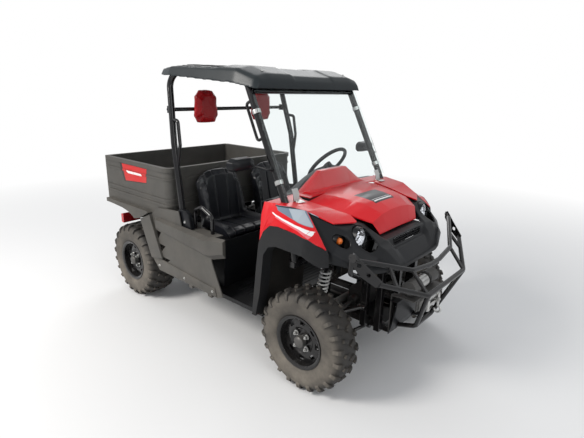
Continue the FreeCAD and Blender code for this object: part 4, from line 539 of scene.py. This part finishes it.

# %% [markdown]
# Most rigid shapes are right in the CAD model, but their edges are knife sharp. A rounded copy stands for
# each: its loose triangles are merged, flat neighbours are joined again, and its sharp edges get a small
# bevel that catches the light as moulded plastic and bent sheet do. A width of zero leaves a node's edges
# as they are.

# %% Rounded copies of CAD nodes
# The grille wears socket_black: painted shade, darker than its plastic, for the shade in the nose's slot.
LOOKS = {"cargo_bed": "bed_plastic", "fender_flares": "arch_plastic", "arch_liners": "liner_plastic",
         "grille": "socket_black", "hood_lid": "hood_paint", "front_fenders": "wing_paint"}


def stand_in(obj, node):
    """Let a piece take the place of a CAD node, with the finish of the node's look or slot, and the node's
    body.
    """
    dress(obj, slots[node], body_of(node), LOOKS.get(node), [node])


def rounded(node, width):
    """Copy of a CAD node with bevelled edges, in place of the node."""
    bm = merged_copy(node)
    if width:
        crisp = [e for e in bm.edges if len(e.link_faces) == 2 and e.calc_face_angle(0.0) > SHARP]
        bevelled(bm, crisp, width)
    obj = to_object(bm, node + "_skin")
    even = obj.modifiers.new("even_shading", "WEIGHTED_NORMAL")
    even.keep_sharp = True
    stand_in(obj, node)


ROUNDED = {
    "hood_lid": 0.003, "front_fenders": 0.003, "dash": 0.003, "floor_pan": 0.001, "seat_box": 0.004,
    "side_panels": 0.004, "cargo_bed": 0.004, "tailgate": 0.004, "roll_cage": 0.001, "bull_bar": 0.001,
    "hip_rails": 0.0, "grab_handle": 0.001, "windshield_clamps": 0.001, "windshield": 0.001,
    "fairlead": 0.001, "belly_plate": 0.002, "arch_liners": 0.001, "fender_flares": 0.006,
    "chassis_frame": 0.003, "front_subframe": 0.003, "rear_subframe": 0.003, "tail_lamps": 0.003,
    "driver_controls": 0.001, "steering_wheel": 0.001, "engine": 0.012, "exhaust": 0.002,
    "bed_frame": 0.002, "grille": 0.001, "winch": 0.002, "front_arms": 0.0, "rear_arms": 0.0,
    "knuckle_left": 0.001, "knuckle_right": 0.001, "rear_hubs": 0.001, "dampers": 0.001,
    "driveline": 0.002, "rack_housing": 0.001, "steering_rack": 0.001,
}
ROUNDED.update({f"rim_{wheel[0]}": 0.0015 for wheel in WHEELS})
for node, width in ROUNDED.items():
    rounded(node, width)
print(len(ROUNDED), "rounded pieces")

# %% [markdown]
# The roof, nose and mirrors are moulded, so their creases are soft. A voxel remesh of the CAD shape
# followed by smoothing melts each edge by about a centimetre, and keeps the form.

# %% Melted copies of CAD nodes
def evaluated(obj):
    """New mesh of an object with its modifiers in effect."""
    return bpy.data.meshes.new_from_object(obj.evaluated_get(bpy.context.evaluated_depsgraph_get()))


def settled_in(obj):
    """Take an object's modifiers up into its mesh, shaded smooth."""
    mesh = evaluated(obj)
    obj.modifiers.clear()
    obj.data = mesh
    mesh.polygons.foreach_set("use_smooth", [True] * len(mesh.polygons))


def remeshed(node, voxel, passes):
    """Object with a CAD node's shape as an even skin with melted creases."""
    obj = to_object(merged_copy(node), node + "_skin")
    remesh = obj.modifiers.new("even_skin", "REMESH")
    remesh.mode = "VOXEL"
    remesh.voxel_size = voxel
    melt = obj.modifiers.new("melt", "SMOOTH")
    melt.factor = 0.5
    melt.iterations = passes
    settled_in(obj)
    return obj


for node, voxel, passes in (("roof", 0.0059, 24), ("front_fascia", 0.0045, 7), ("mirrors", 0.0040, 12)):
    skin = remeshed(node, voxel, passes)
    stand_in(skin, node)
    print(skin.name, len(skin.data.polygons), "faces")

# %% [markdown]
# Seats and headrests are padded: vinyl drawn over foam. Each starts as an even skin of its CAD form, drawn in
# a little, and a short Cloth run with inner pressure swells it. No point may move further than a cap, so the
# pads keep their shape. Sewn channels are pressed in afterwards, along lines that run up the pads.

# %% Padded pieces
PRESSURE, DRAWN_IN = 4.0, 0.6
SEAM_DEPTH, SEAM_WIDTH = 0.006, 0.006


def swell(obj, cap):
    """Inflate an object with Cloth for 20 frames, and hold each point within the cap."""
    rest = [v.co.copy() for v in obj.data.vertices]
    cloth = obj.modifiers.new("pressure", "CLOTH")
    cloth.settings.use_pressure = True
    cloth.settings.uniform_pressure_force = PRESSURE
    cloth.settings.effector_weights.gravity = 0.0
    for step in range(1, 21):
        scene.frame_set(step)
    baked = evaluated(obj)
    obj.modifiers.clear()
    for vert, start, end in zip(obj.data.vertices, rest, baked.vertices):
        move = end.co - start
        vert.co = start + move * min(1.0, cap / max(move.length, 1e-9))
    bpy.data.meshes.remove(baked)
    scene.frame_set(1)


def channel(obj, lines):
    """Press sewn channels into a pad; each line gives a point's distance from its seam."""
    for vert in obj.data.vertices:
        for line in lines:
            gap = line(vert.co)
            if abs(gap) < 3 * SEAM_WIDTH:
                vert.co -= vert.normal * SEAM_DEPTH * math.exp(-(gap / SEAM_WIDTH) ** 2)


def pad(node, voxel, passes, cap, lines, shape):
    """Padded piece in place of a CAD node; shape moves a point of the form before it swells."""
    obj = remeshed(node, voxel, passes)
    for vert in obj.data.vertices:
        vert.co = shape(vert.co)
    for vert in obj.data.vertices:
        vert.co -= vert.normal * cap * DRAWN_IN
    swell(obj, cap)
    dense = obj.modifiers.new("soft_skin", "SUBSURF")
    dense.levels = dense.render_levels = 1
    settled_in(obj)
    channel(obj, lines)
    stand_in(obj, node)
    print(obj.name, len(obj.data.polygons), "faces")


SEAT_Y, SEAT_HALF = 0.275, 0.21
SHOULDER_Z, SHOULDER_RISE, SHOULDER_DROP = 0.92, 0.20, 0.085
HEAD, HEAD_WIDER, HEAD_TALLER = Vector((-0.462, 0.286, 1.580)), 1.12, 1.02
INNER_SEAM, OUTER_SEAM, SEAM_SPREAD, SPREAD_FROM = 0.050, 0.140, 0.05, 0.80


def arched(point, y):
    """Round off the top corners of a seat's back."""
    high = min(1.0, max(0.0, (point.z - SHOULDER_Z) / SHOULDER_RISE))
    return point - Z_AXIS * SHOULDER_DROP * high * abs((point.y - y) / SEAT_HALF) ** 3


def fuller(point):
    """Widen a headrest about its own middle."""
    middle = math.copysign(HEAD.y, point.y)
    return Vector((point.x, middle + (point.y - middle) * HEAD_WIDER,
                   HEAD.z + (point.z - HEAD.z) * HEAD_TALLER))


def seams(y):
    """Distances from a seat's seams: an inner pair that spreads on the way up, and an upright outer pair."""
    return [lambda p: abs(p.y - y) - INNER_SEAM - SEAM_SPREAD * max(0.0, p.z - SPREAD_FROM),
            lambda p: abs(p.y - y) - OUTER_SEAM]


for node, y in (("seat_driver", SEAT_Y), ("seat_passenger", -SEAT_Y)):
    pad(node, 0.010, 12, 0.012, seams(y), lambda p, y=y: arched(p, y))
pad("headrests", 0.006, 3, 0.006, [], fuller)

# %% [markdown]
# Each tyre is a smooth carcass spun from its section, with dusty sidewalls, and rows of chunky lugs: short
# slanted blocks near the middle and longer ones that wrap the shoulder. One lug of each kind is drawn, and a
# spin with duplicates sets the rest round the wheel.

# %% Tyres
LUGS, LUG_EDGE, LUG_START = 22, 0.0022, 0.05
TREAD_R, LUG_TIP = 0.2975, 0.3092
TYRE_STEPS, TYRE_SHARP = 72, math.radians(50)


def lug(bm, centre, section, width, slant, start):
    """Ring of lugs: a section of (offset, radius) made into a slanted block and repeated round the wheel."""
    fresh = bmesh.new()
    block(fresh, [(-width / 2, offset, radius) for offset, radius in section], (width, 0, 0), LUG_EDGE)
    middle = Vector((0, sum(o for o, r in section) / len(section), 0))
    bmesh.ops.rotate(fresh, verts=fresh.verts, cent=middle, matrix=Matrix.Rotation(slant, 3, "Z"))
    bmesh.ops.rotate(fresh, verts=fresh.verts, cent=(0, 0, 0), matrix=Matrix.Rotation(start, 3, "Y"))
    bmesh.ops.translate(fresh, verts=fresh.verts, vec=centre)
    one = math.tau / LUGS
    bmesh.ops.spin(fresh, geom=fresh.verts[:] + fresh.edges[:] + fresh.faces[:], cent=centre, axis=Y_AXIS,
                   dvec=(0, 0, 0), angle=one * (LUGS - 1), steps=LUGS - 1, use_duplicate=True)
    mesh = bpy.data.meshes.new("lugs")
    fresh.to_mesh(mesh)
    fresh.free()
    bm.from_mesh(mesh)
    bpy.data.meshes.remove(mesh)


def tyre(node, centre, half, rim_half):
    """Tyre in place of a CAD node, from the half widths of the tyre and its rim."""
    bm = bmesh.new()
    right = [(0.45 * half, TREAD_R - 0.001), (0.72 * half, TREAD_R - 0.007), (0.88 * half, TREAD_R - 0.020),
             (0.955 * half, TREAD_R - 0.040), (0.97 * half, 0.235), (0.965 * half, 0.212),
             (0.94 * half, 0.192), (rim_half + 0.001, 0.176), (rim_half - 0.004, 0.168),
             (rim_half - 0.010, 0.160), (rim_half - 0.018, 0.160), (0.86 * half, 0.205),
             (0.84 * half, 0.240), (0.6 * half, TREAD_R - 0.02)]
    loop = right + [(-o, r) for o, r in reversed(right)]
    turned(bm, loop + loop[:1], centre, Y_AXIS, TYRE_STEPS)
    shoulder = [(0.60 * half, TREAD_R - 0.010), (0.58 * half, LUG_TIP), (0.80 * half, LUG_TIP - 0.006),
                (0.93 * half, LUG_TIP - 0.018), (0.995 * half, LUG_TIP - 0.040),
                (0.99 * half, LUG_TIP - 0.052), (0.90 * half, TREAD_R - 0.050)]
    middle = [(0.06 * half, TREAD_R - 0.008), (0.06 * half, LUG_TIP), (0.46 * half, LUG_TIP),
              (0.48 * half, TREAD_R - 0.008)]
    for side in (-1, 1):
        for section, width, slant, shift in ((shoulder, 0.026, 0.24, 0.0),
                                             (middle, 0.022, 0.45, math.pi / LUGS)):
            lug(bm, centre, [(side * o, r) for o, r in section], width, side * slant,
                LUG_START * side + shift)
    obj = to_object(bm, node + "_skin", TYRE_SHARP)
    return dress(obj, "tyre_rubber", body_of(node), None, [node])


for corner, centre, _, half, rim_half in WHEELS:
    made = tyre(f"tyre_{corner}", centre, half, rim_half)
    print(made.name, len(made.data.polygons), "faces")

# %% [markdown]
# Bright wheel nuts, washers and a grey centre cap sit on each dish. They are small turned and six-sided
# shapes, so cones with few segments do.

# %% Wheel nuts and caps
NUT_CIRCLE, DISH_DEPTH, CAP_STEPS = 0.055, 0.036, 32
NUT = ((0.0, 0.004, 20, 0.0155, 0.0155), (0.004, 0.019, 6, 0.0115, 0.0105), (0.019, 0.026, 12, 0.006, 0.005))
CAP = ((0.0, 0.036), (0.030, 0.034), (0.036, 0.028), (0.040, 0.014), (0.041, 0.0))
for corner, centre, out, _, rim_half in WHEELS:
    rim = body_of(f"rim_{corner}")
    dish = rim_half - DISH_DEPTH
    bm = bmesh.new()
    for n in range(4):
        angle = math.pi / 4 + n * math.pi / 2
        foot = centre + Vector((math.cos(angle), 0, math.sin(angle))) * NUT_CIRCLE + out * dish
        stack(bm, foot, out, NUT)
    dress(to_object(bm, f"wheel_nuts_{corner}"), "bare_steel", rim)
    bm = bmesh.new()
    turned(bm, [(dish + along, radius) for along, radius in CAP], centre, out, CAP_STEPS)
    dress(to_object(bm, f"hub_cap_{corner}"), "grey_steel", rim)
print("nuts and caps on four wheels")

# %% [markdown]
# A coil spring is a helix: a circle of wire carried round the damper while it climbs. A spin with a climb per
# step does this directly.

# %% Coil springs
WIRE_R, WIRE_SIDES, COIL_R, TURNS, PER_TURN = 0.0062, 10, 0.0315, 6.5, 28
FOOT_Y, FOOT_Z, TOP_Y, TOP_Z, TOP_LEAN = 0.362, 0.4455, 0.345, 0.702, 0.040
LOWER_SEAT, UPPER_SEAT = 0.0365, 0.0405


def coil(bm, low, high):
    """One helix of wire between two spring seats."""
    along = (high - low).normalized()
    start = low + along * WIRE_R
    rise = (high - low).length - 2 * WIRE_R
    side = along.orthogonal().normalized()
    place = placed(start + side * COIL_R, side.cross(along))
    wound(bm, place, WIRE_R, WIRE_SIDES, start, along, rise, math.tau * TURNS, int(TURNS * PER_TURN))


bm = bmesh.new()
for axle, foot_x in ((FRONT_AXLE.x, -0.0895), (REAR_AXLE.x, -0.0834)):
    for side in SIDES.values():
        foot = Vector((axle + foot_x, side * FOOT_Y, FOOT_Z))
        top = Vector((axle + foot_x + TOP_LEAN, side * TOP_Y, TOP_Z))
        along = (top - foot).normalized()
        coil(bm, foot + along * LOWER_SEAT, top - along * UPPER_SEAT)
dress(to_object(bm, "coil_springs_skin"), "white_coil", body_of("coil_springs"), None, ["coil_springs"])
print("four coil springs")

# %% [markdown]
# A headlamp is a bowl of bright facets with a bulb shield, under a clear domed lens in a black bezel. The
# bowl's facets come from a spin with few steps, left flat. The indicator is a plain amber dome in a deep
# black ring. Each row of the table is one turned part, with its profile of (distance ahead, radius).

# %% Lamps
LAMP = Vector((1.004, 0.391, 0.928))
BLINKER = Vector((0.948, 0.520, 0.929))
FACET = math.radians(4)
LAMP_PARTS = [
    ("headlamp_bowls", LAMP, 18, "lamp_clear", "reflector", [], FACET,
     [(-0.060, 0.0), (-0.060, 0.018), (-0.048, 0.032), (-0.028, 0.044), (-0.006, 0.054), (-0.006, 0.056),
      (-0.062, 0.022), (-0.064, 0.0)]),
    ("headlamp_bulbs", LAMP, 24, "lamp_clear", "reflector", [], SHARP,
     [(-0.058, 0.0), (-0.058, 0.012), (-0.030, 0.012), (-0.022, 0.016), (-0.014, 0.015), (-0.008, 0.0)]),
    ("headlamp_lenses", LAMP, 48, "lamp_clear", None, ["headlamps"], SHARP,
     [(0.010, 0.0), (0.0085, 0.020), (0.005, 0.040), (-0.001, 0.054), (-0.004, 0.055), (0.002, 0.040),
      (0.0055, 0.020), (0.007, 0.0)]),
    ("headlamp_bezels", LAMP, 48, "black_plastic", None, [], SHARP,
     [(-0.004, 0.0555), (0.006, 0.0565), (0.008, 0.059), (0.006, 0.0615), (-0.030, 0.0615), (-0.030, 0.058),
      (-0.004, 0.0555)]),
    ("indicator_lenses", BLINKER, 32, "lamp_amber", None, ["indicator_lamps"], SHARP,
     [(0.024, 0.0), (0.022, 0.008), (0.018, 0.014), (0.010, 0.018), (-0.006, 0.020), (-0.020, 0.020),
      (-0.020, 0.0)]),
    ("indicator_rings", BLINKER, 40, "black_plastic", "socket_black", [], SHARP,
     [(-0.024, 0.0), (-0.024, 0.0205), (-0.004, 0.0215), (0.004, 0.024), (0.007, 0.0275), (0.004, 0.0298),
      (-0.028, 0.0298), (-0.028, 0.0)]),
]
for name, centre, steps, slot_name, look, stands_for, sharp, profile in LAMP_PARTS:
    bm = bmesh.new()
    turned(bm, profile, centre, X_AXIS, steps)
    both_sides(bm)
    dress(to_object(bm, name, sharp), slot_name, "chassis", look, stands_for)
print(len(LAMP_PARTS), "lamp parts on both sides")

# %% [markdown]
# Behind the slats of the nose's slot lies a thin dark screen, so that no light from behind shows through it.
# It is painted shade, a dark sheet that stands for the shade in the slot. It has the grille's own outline and
# rests on the back of its slats.

# %% Screen behind the grille
SCREEN_INSET, SCREEN_GAP, SCREEN_THICK, SCREEN_EDGE = 0.0012, 0.0002, 0.0020, 0.0004
low, high = (Vector(corner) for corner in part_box("grille"))
back = low.x - SCREEN_GAP
y_low, y_high = low.y + SCREEN_INSET, high.y - SCREEN_INSET
z_low, z_high = low.z + SCREEN_INSET, high.z - SCREEN_INSET
bm = bmesh.new()
block(bm, [(back, y_low, z_low), (back, y_high, z_low), (back, y_high, z_high), (back, y_low, z_high)],
      (-SCREEN_THICK, 0, 0), SCREEN_EDGE)
# The screen is painted shade: a dark sheet in the nose's slot.
dress(to_object(bm, "grille_shade_screen"), "black_plastic", "chassis", "socket_black")
print("screen", round(high.y - low.y, 3), "m wide behind the grille")

# %% [markdown]
# The winch carries a wound steel cable on its drum between two flanges. The windings are one tight helix for
# each layer. A layer gives its distance from the drum's axis and how far it reaches to each side.

# %% Winch cable
WINCH = Vector((1.208, 0.0, 0.600))
CABLE_R, CABLE_SIDES, PITCH, PER_WIND = 0.0026, 8, 0.0052, 24
LAYERS = ((0.0325, 0.053), (0.0375, 0.048))
FLANGE = ((0.056, 0.040), (0.056, 0.0485), (0.062, 0.0495), (0.069, 0.0485), (0.069, 0.040), (0.056, 0.040))
FLANGE_STEPS = 40
bm = bmesh.new()
for layer, reach in LAYERS:
    steps = int(2 * reach / PITCH * PER_WIND)
    place = Matrix.Translation(WINCH + Vector((layer, -reach, 0)))
    wound(bm, place, CABLE_R, CABLE_SIDES, WINCH, Y_AXIS, 2 * reach, math.tau * steps / PER_WIND, steps)
dress(to_object(bm, "winch_windings"), "bare_steel", "chassis")

bm = bmesh.new()
for side in SIDES.values():
    turned(bm, [(side * along, radius) for along, radius in FLANGE], WINCH, Y_AXIS, FLANGE_STEPS)
dress(to_object(bm, "winch_flanges"), "black_steel", "chassis")
print("winch dressed")

# %% [markdown]
# A forged hook hangs before the fairlead on the cable's short taut end. It is a disc of steel carried round
# three quarters of a turn, with a shank, a cross pin and the cable above it.

# %% Hook
HOOK = Vector((1.333, 0.0, 0.462))
HOOK_BEND, HOOK_R, HOOK_SIDES, HOOK_TURN, HOOK_STEPS = 0.020, 0.0062, 12, math.radians(265), 26
bm = bmesh.new()
place = Matrix.Translation(HOOK + Z_AXIS * HOOK_BEND) @ Matrix.Rotation(math.pi / 2, 4, "Y")
ring = bmesh.ops.create_circle(bm, cap_ends=True, segments=HOOK_SIDES, radius=HOOK_R, matrix=place)["verts"]
edges = list({e for v in ring for e in v.link_edges})
faces = list({f for v in ring for f in v.link_faces})
bmesh.ops.spin(bm, geom=ring + edges + faces, cent=HOOK, axis=Y_AXIS, dvec=(0, 0, 0), angle=HOOK_TURN,
               steps=HOOK_STEPS)
for start, end, radius, sides in (((0, 0, 0.018), (0, 0, 0.060), 0.0065, 12),
                                  ((0, -0.010, 0.062), (0, 0.010, 0.062), 0.011, 16),
                                  ((-0.060, 0, 0.055), (0, 0, 0.062), 0.0032, 10)):
    bar(bm, HOOK + Vector(start), HOOK + Vector(end), radius, sides)
bmesh.ops.recalc_face_normals(bm, faces=bm.faces)
dress(to_object(bm, "winch_hook"), "bare_steel", "chassis")
print("hook hung at the fairlead")

# %% [markdown]
# Dark blocks cover the rear pillars' feet, and a raised sill runs along the lower edge of each side panel.
# Both are flat outlines in X and Z carried inwards from a side, with rounded edges.

# %% Pillar covers and sills
COVERS = (
    ("pillar_covers", "black_plastic", -0.652, 0.036, 0.006,
     ((-0.345, 0.756), (-0.352, 0.878), (-0.268, 0.882), (-0.236, 0.862), (-0.205, 0.756))),
    ("side_sills", "grey_plastic", -0.676, 0.0135, 0.005,
     ((-0.612, 0.345), (-0.640, 0.416), (-0.560, 0.440), (0.060, 0.404), (0.078, 0.358), (0.074, 0.345))),
)
for name, slot_name, y, thick, bevel, outline in COVERS:
    bm = bmesh.new()
    block(bm, [(x, y, z) for x, z in outline], (0, thick, 0), bevel)
    both_sides(bm)
    dress(to_object(bm, name), slot_name, "chassis")
print("covers and sills")

# %% [markdown]
# Small fasteners give scale. One table names their places on the right side and which way their heads face.
# Each is a washer under a six-sided head, and a mirror makes the left side's.

# %% Fasteners
BOLT = ((-0.002, 0.0015, 20, 0.0095, 0.0095), (0.0015, 0.0065, 6, 0.0062, 0.0058))
BOLTS = [((-0.600, -0.6765, 0.388), -Y_AXIS), ((-0.280, -0.6765, 0.378), -Y_AXIS),
         ((0.040, -0.6765, 0.378), -Y_AXIS), ((-0.275, -0.6525, 0.800), -Y_AXIS),
         ((0.260, -0.420, 1.8180), Z_AXIS), ((-0.560, -0.420, 1.8535), Z_AXIS)]
bm = bmesh.new()
for place, out in BOLTS:
    stack(bm, Vector(place), out, BOLT)
both_sides(bm)
dress(to_object(bm, "body_bolts"), "bare_steel", "chassis")
print(2 * len(BOLTS), "bolts")

# %% [markdown]
# The floor is a large plain sheet that only catches the shadow. Far from the vehicle it fades to plain white
# where the camera looks at it, so that it meets the background without a line.

# %% Floor
FLOOR_HALF, FLOOR_COLOUR = 40.0, (0.82, 0.82, 0.82, 1.0)
FADE_FROM, FADE_TO = 2.2, 6.5
bm = bmesh.new()
bmesh.ops.create_grid(bm, x_segments=1, y_segments=1, size=FLOOR_HALF)
floor = to_object(bm, "floor")
paint, tree, shader = new_material("floor_paint")
shader.inputs["Base Color"].default_value = FLOOR_COLOUR
shader.inputs["Roughness"].default_value = 0.85
glow = put(tree, "ShaderNodeEmission", Strength=1.0, Color=(1.0, 1.0, 1.0, 1.0))
blend = tree.nodes.new("ShaderNodeMixShader")
reach = put(tree, "ShaderNodeVectorMath", operation="LENGTH")
tree.links.new(tree.nodes.new("ShaderNodeTexCoord").outputs["Object"], reach.inputs[0])
far = span(tree, reach.outputs["Value"], FADE_FROM, FADE_TO)
rays = tree.nodes.new("ShaderNodeLightPath")
seen = calc(tree, "MAXIMUM", rays.outputs["Is Camera Ray"], rays.outputs["Is Transmission Ray"])
tree.links.new(calc(tree, "MULTIPLY", far, seen), blend.inputs[0])
tree.links.new(shader.outputs[0], blend.inputs[1])
tree.links.new(glow.outputs[0], blend.inputs[2])
tree.links.new(blend.outputs[0], tree.nodes["Material Output"].inputs["Surface"])
floor.data.materials.append(paint)
print("floor", floor.name)

# %% [markdown]
# Soft lamps keep the colours plain. The world is white where the camera or glass looks at it, partly so in
# reflections, and otherwise a dim fill, so it doesn't flood the vehicle with light.

# %% World and lamps
REFLECTED = 0.38
scene.view_settings.view_transform = "Standard"
world = bpy.data.worlds.new("studio")
scene.world = world
world.use_nodes = True
tree = world.node_tree
tree.nodes.clear()
fill = put(tree, "ShaderNodeBackground", Color=(0.93, 0.96, 1.0, 1.0), Strength=0.55)
white = put(tree, "ShaderNodeBackground", Color=(1.0, 1.0, 1.0, 1.0), Strength=1.0)
path = tree.nodes.new("ShaderNodeLightPath")
glossy = calc(tree, "MULTIPLY", path.outputs["Is Glossy Ray"], REFLECTED)
through = calc(tree, "MAXIMUM", glossy, path.outputs["Is Transmission Ray"])
mix = tree.nodes.new("ShaderNodeMixShader")
tree.links.new(calc(tree, "MAXIMUM", path.outputs["Is Camera Ray"], through), mix.inputs["Fac"])
tree.links.new(fill.outputs[0], mix.inputs[1])
tree.links.new(white.outputs[0], mix.inputs[2])
tree.links.new(mix.outputs[0], tree.nodes.new("ShaderNodeOutputWorld").inputs["Surface"])


def lamp(name, place, target, size, power, colour=(1.0, 1.0, 1.0)):
    """Square soft lamp at a place, turned to a target."""
    data = bpy.data.lights.new(name, "AREA")
    data.size = size
    data.energy = power
    data.color = colour
    obj = bpy.data.objects.new(name, data)
    obj.matrix_world = placed(Vector(place), Vector(target) - Vector(place), "-Z")
    scene.collection.objects.link(obj)


lamp("key_lamp", (-1.8, -4.8, 4.2), (0.0, 0.0, 0.7), 1.8, 285.0, (1.0, 0.97, 0.93))
lamp("front_lamp", (5.2, -1.5, 3.2), (0.5, 0.0, 0.7), 3.2, 60.0)
lamp("back_lamp", (-3.5, 4.5, 4.5), (0.0, 0.0, 0.8), 3.5, 90.0)
